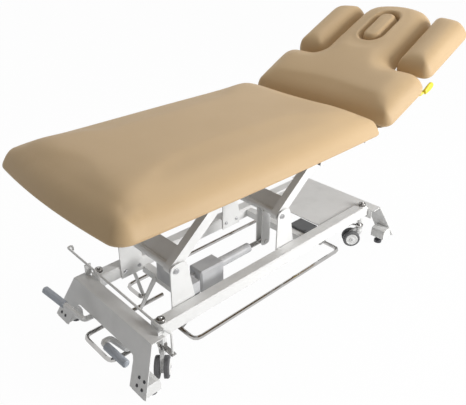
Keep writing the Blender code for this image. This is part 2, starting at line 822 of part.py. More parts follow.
def build_lift_frame(label, parent, crank):
    """One welded lift frame: two arms, a pivot tube, a web and an upper cross tube.

    The parent empty sits on the lower pivot, unturned; the arms rise at the lift angle.
    """
    outer = arm_outer_y()
    middle = outer - ARM_TUBE_W / 2.0
    inner = outer - ARM_TUBE_W
    direction = Vector((math.cos(LIFT_ANGLE), 0.0, math.sin(LIFT_ANGLE)))
    tilt = (0.0, -LIFT_ANGLE, 0.0)
    half = ARM_TUBE_H / 2.0
    outline = rounded(
        [(-ARM_END_R, -half), (LIFT_ARM + ARM_END_R, -half), (LIFT_ARM + ARM_END_R, half),
         (-ARM_END_R, half)],
        half, steps=3,
    )
    pieces = []
    for hand in (-1, 1):
        arm = plate(
            f"arm_{label}_{hand}", outline, ARM_TUBE_W, "white_coat", parent,
            (0.0, hand * middle, 0.0), (math.pi / 2.0, -LIFT_ANGLE, 0.0),
        )
        arm.rotation_euler = (
            Matrix.Rotation(-LIFT_ANGLE, 3, "Y") @ Matrix.Rotation(math.pi / 2.0, 3, "X")
        ).to_euler()
        pieces.append(arm)
    reach = inner + WELD
    pieces.append(rod_between(
        f"pivot_tube_{label}", (0.0, -reach, 0.0), (0.0, reach, 0.0), PIVOT_TUBE_R,
        "white_coat", parent,
    ))
    web_at = direction * (WEB_START + WEB_LENGTH / 2.0 - PIVOT_TUBE_R)
    pieces.append(box(
        f"web_{label}", (WEB_LENGTH + PIVOT_TUBE_R, 2.0 * reach, SHEET), "white_coat", parent,
        web_at, tilt,
    ))
    upper = direction * (LIFT_ARM * UPPER_TUBE_AT_SHARE)
    pieces.append(rod_between(
        f"upper_tube_{label}", (upper.x, -reach, upper.z), (upper.x, reach, upper.z),
        UPPER_TUBE_R, "white_coat", parent,
    ))
    if crank:
        drop = PIVOT_Z - ACT_Z
        half_w = CRANK_WIDTH / 2.0
        shape = rounded(
            [(-half_w, -drop - ACT_EYE_R), (half_w, -drop - ACT_EYE_R), (half_w, 0.0),
             (-half_w, 0.0)],
            [ACT_EYE_R, ACT_EYE_R, SHEET, SHEET],
        )
        offset = ACT_EYE_W / 2.0 + CRANK_GAP + CRANK_PLATE / 2.0
        for hand in (-1, 1):
            pieces.append(plate(
                f"crank_{hand}", shape, CRANK_PLATE, "white_coat", parent,
                (0.0, ACT_Y + hand * offset, 0.0),
            ))
            bolt_y = ACT_Y + hand * (offset + CRANK_PLATE / 2.0 + PIN_HEAD_H / 2.0 - WELD)
            pieces.append(rod_between(
                f"crank_bolt_{hand}",
                (0.0, bolt_y - PIN_HEAD_H / 2.0, -drop), (0.0, bolt_y + PIN_HEAD_H / 2.0, -drop),
                PIN_HEAD_R, "white_coat", parent, segments=6,
            ))
    frame = pieces[0]
    frame.name = f"lift_frame_{label}"
    combine(frame, pieces[1:])
    top = direction * LIFT_ARM
    cuts = [
        rod_between(
            f"cut_{label}_{where}", (spot.x, -outer - CUT_OVERRUN, spot.z),
            (spot.x, outer + CUT_OVERRUN, spot.z), PIN_R + PIN_GAP, "steel", parent, segments=12,
        )
        for where, spot in (("low", Vector((0.0, 0.0, 0.0))), ("high", top))
    ]
    cut(frame, *cuts)
    return frame


def axle(name, x, z, half, parent, shank=None):
    """A pivot shaft along Y with a head on each end, between faces at plus and minus half."""
    radius = PIN_R if shank is None else shank
    head = PIN_HEAD_R * radius / PIN_R
    return turned(
        name,
        [(0.0, half + PIN_HEAD_H), (head, half + PIN_HEAD_H), (head, half), (radius, half),
         (radius, -half), (head, -half), (head, -half - PIN_HEAD_H), (0.0, -half - PIN_HEAD_H)],
        "steel", parent, (x, 0.0, z), (-math.pi / 2.0, 0.0, 0.0), segments=12,
    )


def build_actuator(base, axis, rod_axis):
    """Linear actuator: rear mount, housing with motor, tube and rod."""
    near = RAIL_INNER_Y - GAP - TOWER_PLATE - GAP
    far = -near + MOUNT_REACH
    mount = box(
        "actuator_mount", (MOUNT_DEPTH, far + near, MOUNT_HEIGHT), "grey_plastic", base,
        (MOUNT_X + MOUNT_DEPTH / 2.0, (far - near) / 2.0, MOUNT_Z + MOUNT_HEIGHT / 2.0),
        rounding=EDGE,
    )
    ear_gap = ACT_EYE_W / 2.0 + RUN_GAP
    ears = []
    mount_face = MOUNT_X + MOUNT_DEPTH
    for hand in (-1, 1):
        ears.append(plate(
            f"mount_ear_{hand}",
            rounded(
                [(mount_face - WELD - EDGE, -ACT_EYE_R), (ACT_REAR_X + ACT_EYE_R * 0.8, -ACT_EYE_R),
                 (ACT_REAR_X + ACT_EYE_R * 0.8, ACT_EYE_R), (mount_face - WELD - EDGE, ACT_EYE_R)],
                [0.0, ACT_EYE_R * 0.8, ACT_EYE_R * 0.8, 0.0],
            ),
            EAR_PLATE, "grey_plastic", base,
            (0.0, ACT_Y + hand * (ear_gap + EAR_PLATE / 2.0), ACT_Z),
        ))
    combine(mount, ears)
    reach = ear_gap + EAR_PLATE + CUT_OVERRUN
    cut(mount, rod_between(
        "cut_mount", (ACT_REAR_X, ACT_Y - reach, ACT_Z), (ACT_REAR_X, ACT_Y + reach, ACT_Z),
        PIN_R + PIN_GAP, "steel", base, segments=12,
    ))
    half = ear_gap + EAR_PLATE + GAP
    turned(
        "actuator_pin",
        [(0.0, half + PIN_HEAD_H), (PIN_HEAD_R, half + PIN_HEAD_H), (PIN_HEAD_R, half),
         (PIN_R, half), (PIN_R, -half), (PIN_HEAD_R, -half), (PIN_HEAD_R, -half - PIN_HEAD_H),
         (0.0, -half - PIN_HEAD_H)],
        "steel", base, (ACT_REAR_X, ACT_Y, ACT_Z),
        Vector((0.0, 1.0, 0.0)).to_track_quat("Z", "Y").to_euler(), segments=16,
    )
    start = ACT_BODY_START - ACT_REAR_X
    end = start + ACT_BODY_LENGTH
    body = box(
        "actuator_housing", (ACT_BODY_LENGTH, ACT_BODY_WIDTH, ACT_BODY_HEIGHT), "grey_plastic",
        axis, ((start + end) / 2.0, 0.0, -ACT_BODY_DROP), rounding=SHEET * 2.0,
    )
    lug = plate(
        "housing_lug",
        rounded([(-ACT_EYE_R * 0.8, -ACT_EYE_R * 0.8), (start + WELD, -ACT_EYE_R * 0.8),
                 (start + WELD, ACT_EYE_R * 0.8), (-ACT_EYE_R * 0.8, ACT_EYE_R * 0.8)],
                [ACT_EYE_R * 0.7, 0.0, 0.0, ACT_EYE_R * 0.7]),
        ACT_EYE_W, "grey_plastic", axis, (0.0, 0.0, 0.0),
    )
    combine(body, [lug])
    cut(body, rod_between(
        "cut_housing_eye", (0.0, -ACT_EYE_W, 0.0), (0.0, ACT_EYE_W, 0.0), PIN_R + PIN_GAP,
        "steel", axis, segments=12,
    ))
    tube_end = ACT_TUBE_END - ACT_REAR_X
    bore = ACT_ROD_R + RUN_GAP
    length = tube_end - end - GAP
    floor = SHEET * 2.0
    turned(
        "actuator_tube",
        [(bore, length), (ACT_TUBE_R - EDGE, length), (ACT_TUBE_R, length - EDGE),
         (ACT_TUBE_R, 0.0), (0.0, 0.0), (0.0, floor), (bore, floor), (bore, length)],
        "grey_plastic", axis, (end + GAP, 0.0, 0.0),
        Vector((1.0, 0.0, 0.0)).to_track_quat("Z", "Y").to_euler(),
    )
    front = LIFT_HEAD_X - ACT_REAR_X
    rod_start = end + GAP + floor + ACT_STROKE_IN
    rod = rod_between(
        "actuator_rod", (rod_start - front, 0.0, 0.0), (-WELD, 0.0, 0.0), ACT_ROD_R, "steel",
        rod_axis,
    )
    eye = rod_between(
        "rod_eye", (0.0, -ACT_EYE_W / 2.0, 0.0), (0.0, ACT_EYE_W / 2.0, 0.0), ACT_EYE_R * 0.9,
        "steel", rod_axis, segments=12,
    )
    combine(rod, [eye])


def build_top(top, base_place):
    """Top frame, main board and main cushion on the levelled top body."""
    cushion_z = LYING_HEIGHT - MAIN_THICKNESS
    board_top = cushion_z - GAP
    frame_top = board_top - BOARD - GAP
    frame_z = frame_top - FRAME_TUBE_H / 2.0
    foot_x, end_x = FRAME_FOOT_X, HINGE_X - HINGE_EAR_R - RUN_GAP
    rails = []
    for hand in (-1, 1):
        rails.append(box(
            f"top_rail_{hand}", (end_x - foot_x, FRAME_TUBE_W, FRAME_TUBE_H), "white_coat", top,
            base_place((foot_x + end_x) / 2.0, hand * FRAME_Y, frame_z),
        ))
    upper_x = LIFT_FOOT_X + LIFT_ARM * math.cos(LIFT_ANGLE)
    upper_z = PIVOT_Z + LIFT_ARM * math.sin(LIFT_ANGLE)
    upper_head_x = LIFT_HEAD_X + LIFT_ARM * math.cos(LIFT_ANGLE)
    for i, x in enumerate((foot_x + FRAME_TUBE_W / 2.0, upper_x, upper_head_x)):
        rails.append(box(
            f"top_cross_{i}", (FRAME_TUBE_W, 2.0 * FRAME_Y, FRAME_TUBE_H), "white_coat", top,
            base_place(x, 0.0, frame_z),
        ))
    ear_y = arm_outer_y() + RUN_GAP + EAR_PLATE / 2.0
    ear_top = frame_z - upper_z
    shape = rounded(
        [(-TOP_EAR_R, -TOP_EAR_R), (TOP_EAR_R, -TOP_EAR_R), (TOP_EAR_R, ear_top),
         (-TOP_EAR_R, ear_top)],
        [TOP_EAR_R, TOP_EAR_R, 0.0, 0.0],
    )
    for i, x in enumerate((upper_x, upper_head_x)):
        for hand in (-1, 1):
            rails.append(plate(
                f"top_ear_{i}_{hand}", shape, EAR_PLATE, "white_coat", top,
                base_place(x, hand * ear_y, upper_z),
            ))
    hinge_in = HINGE_X - end_x + EDGE
    low_z = frame_z - HINGE_Z - FRAME_TUBE_H / 2.0
    for hand in (-1, 1):
        rails.append(box(
            f"hinge_arm_{hand}",
            (FRAME_TUBE_W, HINGE_Y - FRAME_Y + HINGE_EAR, FRAME_TUBE_H), "white_coat", top,
            base_place(end_x - FRAME_TUBE_W / 2.0, hand * (FRAME_Y + HINGE_Y) / 2.0, frame_z),
        ))
        rails.append(plate(
            f"hinge_ear_{hand}",
            rounded(
                [(-HINGE_EAR_R * 2.0 - hinge_in, low_z), (-hinge_in, low_z),
                 (HINGE_EAR_R, -HINGE_EAR_R), (HINGE_EAR_R, HINGE_EAR_R),
                 (-HINGE_EAR_R, HINGE_EAR_R)],
                [0.0, 0.0, HINGE_EAR_R * 0.6, HINGE_EAR_R * 0.8, HINGE_EAR_R * 0.8],
            ),
            HINGE_EAR, "white_coat", top, base_place(HINGE_X, hand * HINGE_Y, HINGE_Z),
        ))
    anchor_y = STRUT_Y - STRUT_BODY_R - RUN_GAP - EAR_PLATE / 2.0
    anchor_low = STRUT_Z - STRUT_EYE_R
    rails.append(box(
        "strut_anchor", (STRUT_EYE_R * 2.0, EAR_PLATE, frame_z - anchor_low), "white_coat", top,
        base_place(STRUT_X, anchor_y, (frame_z + anchor_low) / 2.0),
    ))
    rails.append(box(
        "strut_tie", (FRAME_TUBE_W, FRAME_Y + anchor_y + EAR_PLATE / 2.0, FRAME_TUBE_H),
        "white_coat", top,
        base_place(STRUT_X, (anchor_y + EAR_PLATE / 2.0 - FRAME_Y) / 2.0, frame_z),
    ))
    rails.append(rod_between(
        "strut_pin", base_place(STRUT_X, anchor_y, STRUT_Z),
        base_place(STRUT_X, STRUT_Y + STRUT_BODY_R + RUN_GAP, STRUT_Z), STRUT_PIN_R,
        "white_coat", top, segments=16,
    ))
    frame = rails[0]
    frame.name = "top_frame"
    combine(frame, rails[1:])
    cuts = []
    bore = PIN_R + PIN_GAP
    for i, x in enumerate((upper_x, upper_head_x)):
        for hand in (-1, 1):
            lo = hand * (ear_y - EAR_PLATE)
            hi = hand * (ear_y + EAR_PLATE)
            cuts.append(rod_between(
                f"cut_ear_{i}_{hand}", base_place(x, lo, upper_z), base_place(x, hi, upper_z),
                bore, "steel", top, segments=12,
            ))
    for hand in (-1, 1):
        cuts.append(rod_between(
            f"cut_hinge_{hand}",
            base_place(HINGE_X, hand * (HINGE_Y - HINGE_EAR), HINGE_Z),
            base_place(HINGE_X, hand * (HINGE_Y + HINGE_EAR), HINGE_Z),
            HINGE_PIN_R + PIN_GAP, "steel", top, segments=16,
        ))
    cut(frame, *cuts)
    half_long = MAIN_LENGTH / 2.0 - BOARD_INSET
    half_wide = CUSHION_WIDTH / 2.0 - BOARD_INSET
    corners = [(-half_long, -half_wide), (half_long, -half_wide), (half_long, half_wide),
               (-half_long, half_wide)]
    plate(
        "main_board", rounded(corners, MAIN_BOARD_CORNER, steps=4), BOARD, "board_wood", top,
        base_place(MAIN_END_X - MAIN_LENGTH / 2.0, 0.0, board_top - BOARD / 2.0),
        (0.0, 0.0, 0.0),
    )
    build_main_cushion(top, base_place(MAIN_END_X - MAIN_LENGTH / 2.0, 0.0, cushion_z))


def build_main_cushion(parent, at):
    """The long foot and body cushion, crowned, with rolled sides."""
    roll_u, roll_v = MAIN_ROLL / MAIN_LENGTH, MAIN_ROLL / CUSHION_WIDTH
    columns = (0.0, roll_u, 0.5, 1.0 - roll_u, 1.0)
    rows = (0.0, roll_v, 0.5, 1.0 - roll_v, 1.0)

    def place(u, v, top):
        across = 2.0 * v - 1.0
        along = 2.0 * u - 1.0
        side_pull = MAIN_SIDE_PULL * (1.0 - along * along) if abs(across) > 0.99 else 0.0
        end_pull = MAIN_SIDE_PULL * (1.0 - across * across) if abs(along) > 0.99 else 0.0
        pull = MAIN_CORNER_PULL if abs(across) > 0.99 and abs(along) > 0.99 else 0.0
        long, wide = MAIN_LENGTH + 2.0 * MAIN_GROW, CUSHION_WIDTH + 2.0 * MAIN_GROW
        x = (u - 0.5) * long - math.copysign(pull + end_pull, along)
        y = (v - 0.5) * wide - math.copysign(pull + side_pull, across)
        crown = MAIN_CROWN * (1.0 - abs(across) ** 2) * (1.0 - abs(along) ** 2)
        edge = abs(across) > 0.99 or abs(along) > 0.99
        z = MAIN_THICKNESS - (MAIN_CROWN - crown if not edge else MAIN_CROWN) if top else 0.0
        return x, y, z

    return cushion("main_cushion", columns, rows, place, "beige_cover", parent, at)


def head_half_width(s):
    """Half the head cushion's width at a distance from its hinge end."""
    half = HEAD_WIDTH / 2.0
    neck = NECK_WIDTH / 2.0
    if s <= SHOULDER_AT:
        return half
    if s <= SHOULDER_AT + SHOULDER_RUN:
        return half + (neck - half) * (s - SHOULDER_AT) / SHOULDER_RUN
    rest = (s - SHOULDER_AT - SHOULDER_RUN) / (HEAD_LENGTH - SHOULDER_AT - SHOULDER_RUN)
    return neck + (TIP_WIDTH / 2.0 - neck) * max(0.0, rest) ** 2


def pad_middle_y():
    """Middle of an arm pad from the table's centre line."""
    return NECK_WIDTH / 2.0 + PAD_GAP + PAD_WIDTH / 2.0


def build_head(axis):
    """Head frame, board and cushion; the parent empty is on the hinge axis and tilted."""
    under = HEAD_TOP_Z - HEAD_THICKNESS
    board_top = under - GAP
    frame_top = board_top - BOARD - GAP
    tube_z = frame_top - HEAD_TUBE / 2.0
    start = HEAD_FRAME_START
    end = start + HEAD_FRAME_LENGTH
    pieces = []
    for hand in (-1, 1):
        pieces.append(box(
            f"head_rail_{hand}", (end - start, HEAD_TUBE, HEAD_TUBE), "white_coat", axis,
            ((start + end) / 2.0, hand * HEAD_FRAME_Y * NECK_SHARE, tube_z),
        ))
    for i, x in enumerate((start + HEAD_TUBE / 2.0, end - HEAD_TUBE / 2.0)):
        half = HEAD_FRAME_Y if i == 0 else HEAD_FRAME_Y * NECK_SHARE
        pieces.append(box(
            f"head_cross_{i}", (HEAD_TUBE, 2.0 * half + HEAD_TUBE, HEAD_TUBE), "white_coat", axis,
            (x, 0.0, tube_z),
        ))
    ear_y = HINGE_Y - HINGE_EAR - RUN_GAP
    for hand in (-1, 1):
        pieces.append(box(
            f"head_ear_arm_{hand}", (HEAD_TUBE, ear_y - HEAD_FRAME_Y + HINGE_EAR, HEAD_TUBE),
            "white_coat", axis,
            (start + HEAD_TUBE / 2.0, hand * (HEAD_FRAME_Y + ear_y) / 2.0, tube_z),
        ))
        high = tube_z + HEAD_TUBE / 2.0 - WELD
        low = tube_z - HEAD_TUBE / 2.0 + WELD
        step = under - RUN_GAP
        outline = [
            (-HINGE_EAR_R, HINGE_EAR_R), (-HINGE_EAR_R, -HINGE_EAR_R * 1.2),
            (start - HEAD_TUBE, low), (start + HEAD_TUBE, low), (start + HEAD_TUBE, high),
            (start - HEAD_TUBE / 2.0, high), (start - HEAD_TUBE, step), (HINGE_EAR_R, step),
            (HINGE_EAR_R, HINGE_EAR_R),
        ]
        radii = [HINGE_EAR_R * 0.8, HINGE_EAR_R, EDGE, 0.0, 0.0, EDGE, EDGE, 0.0,
                 HINGE_EAR_R * 0.8]
        pieces.append(plate(
            f"head_ear_{hand}", rounded(outline, radii, steps=3), HINGE_EAR, "white_coat", axis,
            (0.0, hand * ear_y, 0.0),
        ))
        shaft_z = under - PAD_HINGE_DROP
        shaft_x = HEAD_START_X + PAD_START
        middle_y = pad_middle_y()
        pieces.append(rod_between(
            f"pad_shaft_{hand}", (shaft_x, hand * HEAD_FRAME_Y * NECK_SHARE, shaft_z),
            (shaft_x, hand * (middle_y + PAD_ARM_W / 2.0 + PIN_HEAD_H), shaft_z), HINGE_PIN_R,
            "white_coat", axis,
        ))
        pieces.append(rod_between(
            f"pad_stub_{hand}", (shaft_x, hand * HEAD_FRAME_Y * NECK_SHARE, shaft_z),
            (shaft_x, hand * (middle_y - PAD_ARM_W / 2.0 - RUN_GAP), shaft_z),
            PAD_EAR_R * 0.7, "white_coat", axis,
        ))
    anchor_y = STRUT_Y - STRUT_BODY_R - RUN_GAP - EAR_PLATE / 2.0
    rail_y = HEAD_FRAME_Y * NECK_SHARE
    anchor_low = -STRUT_DROP - STRUT_EYE_R
    pieces.append(box(
        "strut_head_anchor", (STRUT_EYE_R * 2.0, EAR_PLATE, tube_z - anchor_low), "white_coat",
        axis, (STRUT_ALONG, anchor_y, (tube_z + anchor_low) / 2.0),
    ))
    pieces.append(box(
        "strut_head_tie", (STRUT_EYE_R * 2.0, -anchor_y - rail_y + EAR_PLATE / 2.0, HEAD_TUBE),
        "white_coat", axis, (STRUT_ALONG, (anchor_y - EAR_PLATE / 2.0 - rail_y) / 2.0, tube_z),
    ))
    frame = pieces[0]
    frame.name = "head_frame"
    combine(frame, pieces[1:])
    cuts = [
        rod_between(
            f"cut_head_ear_{hand}", (0.0, hand * (ear_y - HINGE_EAR), 0.0),
            (0.0, hand * (ear_y + HINGE_EAR), 0.0), HINGE_PIN_R + PIN_GAP, "steel", axis,
            segments=16,
        )
        for hand in (-1, 1)
    ]
    cut(frame, *cuts)
    s0 = HEAD_START_X
    inset = BOARD_INSET
    neck = NECK_WIDTH / 2.0 - inset
    wide = HEAD_WIDTH / 2.0 - inset
    side = [(s0 + inset, wide), (s0 + SHOULDER_AT - inset, wide),
            (s0 + SHOULDER_AT + SHOULDER_RUN - inset / 2.0, neck),
            (s0 + HEAD_LENGTH - inset, TIP_WIDTH / 2.0 - inset / 2.0)]
    outline = rounded([(x, -y) for x, y in side] + side[::-1], BOARD_CORNER, steps=3)
    board = plate(
        "head_board", outline, BOARD, "board_wood", axis, (0.0, 0.0, board_top - BOARD / 2.0),
        (0.0, 0.0, 0.0),
    )
    cut(board, oval_cutter("cut_board_hole", axis, s0 + FACE_HOLE_AT, board_top - BOARD / 2.0,
                           BOARD * 2.0, 0.0))
    build_head_cushion(axis, (s0, 0.0, under))
    build_pads(axis, s0, under)


def oval_outline(length, width, steps=20):
    """An oval with round ends, as a superellipse."""
    points = []
    for k in range(steps):
        a = math.tau * k / steps
        c, s = math.cos(a), math.sin(a)
        points.append((
            math.copysign(abs(c) ** OVAL_SHARE, c) * length / 2.0,
            math.copysign(abs(s) ** OVAL_SHARE, s) * width / 2.0,
        ))
    return points


def oval_cutter(name, parent, x, z, depth, grow):
    """A cutter of the face hole's outline, grown on all sides."""
    outline = oval_outline(FACE_HOLE_LENGTH + 2.0 * grow, FACE_HOLE_WIDTH + 2.0 * grow)
    return plate(name, outline, depth, "steel", parent, (x, 0.0, z), (0.0, 0.0, 0.0))


def build_head_cushion(parent, at):
    """Head cushion with shoulders, a narrower head end and the face hole."""
    roll = HEAD_ROLL / HEAD_LENGTH
    shoulder = SHOULDER_AT / HEAD_LENGTH
    neck = (SHOULDER_AT + SHOULDER_RUN) / HEAD_LENGTH
    hold = neck + NECK_HOLD / HEAD_LENGTH
    columns = (0.0, roll, shoulder, neck, hold, 1.0 - roll, 1.0)
    side = HEAD_ROLL / HEAD_WIDTH
    rows = (0.0, side, 0.5, 1.0 - side, 1.0)

    def place(u, v, top):
        s = u * HEAD_LENGTH
        across = 2.0 * v - 1.0
        along = 2.0 * u - 1.0
        half = head_half_width(s)
        on_side = abs(across) > 0.99
        on_end = abs(along) > 0.99
        pull = HEAD_CORNER_PULL if on_side and on_end else 0.0
        if on_side:
            y = math.copysign(half - pull, across)
        elif abs(across) > 0.1:
            y = math.copysign(half - HEAD_ROLL, across)
        else:
            y = 0.0
        x = s - math.copysign(pull, along)
        bow = TIP_BOW * (1.0 - across ** 2) if along > 0.99 else 0.0
        crown = HEAD_CROWN * (1.0 - across ** 2) * (1.0 - along ** 2)
        edge = on_side or on_end
        z = HEAD_THICKNESS - (HEAD_CROWN if edge else HEAD_CROWN - crown) if top else 0.0
        return x + bow, y, z

    obj = cushion("head_cushion", columns, rows, place, "beige_cover", parent, at)
    hole = oval_cutter(
        "cut_face_hole", parent, at[0] + FACE_HOLE_AT, at[2] + HEAD_THICKNESS / 2.0,
        HEAD_THICKNESS + 4.0 * CUT_OVERRUN, 0.0,
    )
    return cut(obj, hole)


def build_plug(axis):
    """The oval plug that fills the face hole, rounded on top."""
    outline = oval_outline(
        FACE_HOLE_LENGTH - 2.0 * PLUG_GAP, FACE_HOLE_WIDTH - 2.0 * PLUG_GAP
    )
    plug = plate(
        "face_plug", outline, PLUG_DEPTH, "beige_cover", axis, (0.0, 0.0, -PLUG_DEPTH / 2.0),
        (0.0, 0.0, 0.0),
    )
    return bevel(plug, PLUG_ROUND, 3)


def build_pads(axis, s0, under):
    """The two arm pads beside the head end, each on a bracket that folds down."""
    start = s0 + PAD_START
    middle_y = pad_middle_y()
    hinge_z = under - PAD_HINGE_DROP
    roll_u, roll_v = PAD_ROLL / PAD_LENGTH, PAD_ROLL / PAD_WIDTH
    columns = (0.0, roll_u, 1.0 - roll_u, 1.0)
    rows = (0.0, roll_v, 1.0 - roll_v, 1.0)

    def place(u, v, top):
        across = 2.0 * v - 1.0
        along = 2.0 * u - 1.0
        on_side, on_end = abs(across) > 0.99, abs(along) > 0.99
        pull = PAD_CORNER_PULL if on_side and on_end else 0.0
        x = u * PAD_LENGTH - math.copysign(pull, along)
        y = (v - 0.5) * PAD_WIDTH - math.copysign(pull, across)
        z = HEAD_THICKNESS - (PAD_CROWN if on_side or on_end else 0.0) if top else 0.0
        return x, y, z

    for hand, label in ((-1, "near"), (1, "far")):
        fold = pivot(f"pivot_arm_pad_{label}", (start, hand * middle_y, hinge_z), axis)
        cushion(
            f"arm_pad_{label}", columns, rows, place, "beige_cover", fold,
            (0.0, 0.0, under - hinge_z),
        )
        arm_z = under - hinge_z - GAP - PAD_ARM_H / 2.0
        arm = box(
            f"pad_bracket_{label}", (PAD_ARM_LENGTH, PAD_ARM_W, PAD_ARM_H), "white_coat", fold,
            (PAD_ARM_LENGTH / 2.0 - PAD_EAR_R, 0.0, arm_z),
        )
        ear = rod_between(
            f"pad_eye_{label}", (0.0, -PAD_ARM_W / 2.0, 0.0), (0.0, PAD_ARM_W / 2.0, 0.0),
            PAD_EAR_R, "white_coat", fold, segments=12,
        )
        combine(arm, [ear])
        cut(arm, rod_between(
            f"cut_pad_eye_{label}", (0.0, -PAD_ARM_W, 0.0), (0.0, PAD_ARM_W, 0.0),
            HINGE_PIN_R + PIN_GAP, "steel", fold, segments=16,
        ))


def build_strut(axis, rod_axis, run):
    """Gas strut that carries the head section."""
    length = run.length
    unit = run.normalized()
    turn = unit.to_track_quat("Z", "Y").to_euler()
    body_end = length * STRUT_BODY_SHARE
    bore = STRUT_ROD_R + PIN_GAP
    floor = SHEET * 2.0
    eye_reach = STRUT_EYE_R * 0.8
    body = turned(
        "gas_strut_body",
        [(bore, body_end), (STRUT_BODY_R - EDGE, body_end), (STRUT_BODY_R, body_end - EDGE),
         (STRUT_BODY_R, eye_reach), (0.0, eye_reach), (0.0, eye_reach + floor),
         (bore, eye_reach + floor), (bore, body_end)],
        "dark_plastic", axis, (0.0, 0.0, 0.0), turn, segments=16,
    )
    eye = rod_between(
        "strut_eye", (0.0, -STRUT_BODY_R, 0.0), (0.0, STRUT_BODY_R, 0.0), STRUT_EYE_R + EDGE,
        "dark_plastic", axis, segments=16,
    )
    combine(body, [eye])
    cut(body, rod_between(
        "cut_strut_eye", (0.0, -STRUT_BODY_R * 2.0, 0.0), (0.0, STRUT_BODY_R * 2.0, 0.0),
        STRUT_PIN_R + PIN_GAP, "steel", axis, segments=16,
    ))
    back = -(length - eye_reach - floor - STRUT_STROKE)
    rod = rod_between(
        "gas_strut_rod", unit * back, unit * -WELD, STRUT_ROD_R, "steel", rod_axis, segments=12,
    )
    head_eye = rod_between(
        "strut_rod_eye", (0.0, -STRUT_BODY_R, 0.0), (0.0, STRUT_BODY_R, 0.0), STRUT_EYE_R,
        "steel", rod_axis, segments=16,
    )
    combine(rod, [head_eye])


def build_release_lever(axis):
    """Yellow release lever under the near edge of the head section."""
    tube(
        "release_lever",
        [(0.0, 0.0, 0.0), (0.0, -LEVER_REACH, 0.0), (LEVER_LENGTH, -LEVER_REACH - LEVER_R, 0.0)],
        LEVER_R, "lever_yellow", axis, bend=LEVER_R * 2.0, steps=3,
    )


def build_castor(label, base):
    """One castor: stem in its sleeve, swivelling fork and a pair of wheels."""
    side = -1 if label.startswith("foot") else 1
    hand = -1 if label.endswith("near") else 1
    lift = pivot(f"pivot_stem_{label}", (side * STEM_X, hand * STEM_Y, 0.0), base)
    top = RAIL_TOP_Z + SLEEVE_PROUD + GAP
    bottom = FORK_TOP_Z + GAP
    collar_top = LIFT_COLLAR_Z + LIFT_COLLAR_H
    stem = turned(
        f"castor_stem_{label}",
        [(0.0, top + STEM_CAP_H), (STEM_CAP_R * 0.6, top + STEM_CAP_H),
         (STEM_CAP_R, top + STEM_CAP_H * 0.55), (STEM_CAP_R, top), (STEM_R, top),
         (STEM_R, collar_top), (LIFT_COLLAR_R, collar_top), (LIFT_COLLAR_R, LIFT_COLLAR_Z),
         (STEM_R, LIFT_COLLAR_Z), (STEM_R, bottom), (0.0, bottom)],
        "dark_plastic", lift, (0.0, 0.0, 0.0), segments=12,
    )
    bar_z = LIFT_COLLAR_Z + LIFT_COLLAR_H / 2.0
    if side < 0:
        length = LIFT_BAR_OUT + LIFT_BAR_IN
        bar = box(
            f"stem_bar_{label}", (LIFT_BAR_W, length, LIFT_BAR_T), "white_coat", lift,
            (0.0, hand * (LIFT_BAR_OUT - LIFT_BAR_IN) / 2.0, bar_z),
        )
        combine(stem, [bar])
    elif hand < 0:
        bar = tube(
            f"stem_bar_{label}",
            [(-STEM_R, -hand * LIFT_COLLAR_R * 0.8, bar_z),
             (HEAD_BAR_BEND_X - STEM_X, -hand * LIFT_COLLAR_R, HEAD_BAR_Z),
             (HEAD_BAR_END_X - STEM_X, -hand * HEAD_BAR_SIDE, HEAD_BAR_Z)],
            ROD_R, "white_coat", lift, bend=ROD_BEND, steps=3,
        )
        combine(stem, [bar])
    swivel = pivot(f"pivot_swivel_{label}", (0.0, 0.0, 0.0), lift, turn=CASTOR_HEADINGS[label])
    neck = WHEEL_R
    outline = rounded(
        [(CASTOR_TRAIL + FORK_EYE_R, neck - FORK_EYE_R), (CASTOR_TRAIL + FORK_EYE_R, neck + FORK_EYE_R),
         (FORK_HEAD_R, FORK_TOP_Z), (-FORK_HEAD_R, FORK_TOP_Z), (-FORK_HEAD_R, FORK_TOP_Z - FORK_HEAD_R * 1.4),
         (CASTOR_TRAIL - FORK_EYE_R, neck - FORK_EYE_R)],
        [FORK_EYE_R * 0.9, FORK_EYE_R, EDGE, EDGE, FORK_HEAD_R, FORK_EYE_R * 0.9], steps=3,
    )
    fork = plate(
        f"castor_fork_{label}", outline, FORK_W, "wheel_white", swivel, (0.0, 0.0, 0.0),
    )
    head = rod_between(
        f"fork_head_{label}", (0.0, 0.0, FORK_TOP_Z - FORK_HEAD_R * 1.2), (0.0, 0.0, FORK_TOP_Z),
        FORK_HEAD_R, "wheel_white", swivel, segments=12,
    )
    combine(fork, [head])
    cut(fork, rod_between(
        f"cut_axle_{label}", (CASTOR_TRAIL, -FORK_W, WHEEL_R), (CASTOR_TRAIL, FORK_W, WHEEL_R),
        AXLE_R + PIN_GAP, "steel", swivel, segments=16,
    ))
    spin = pivot(f"pivot_wheels_{label}", (CASTOR_TRAIL, 0.0, WHEEL_R), swivel)
    inner = FORK_W / 2.0 + WHEEL_GAP
    outer = inner + WHEEL_W
    turned(
        f"castor_wheels_{label}",
        [(0.0, outer), (WHEEL_R - TYRE_ROUND, outer), (WHEEL_R, outer - TYRE_ROUND),
         (WHEEL_R, inner), (AXLE_R, inner), (AXLE_R, -inner), (WHEEL_R, -inner),
         (WHEEL_R, TYRE_ROUND - outer), (WHEEL_R - TYRE_ROUND, -outer), (0.0, -outer)],
        "black_rubber", spin, (0.0, 0.0, 0.0), (-math.pi / 2.0, 0.0, 0.0), segments=20,
    )
    return lift


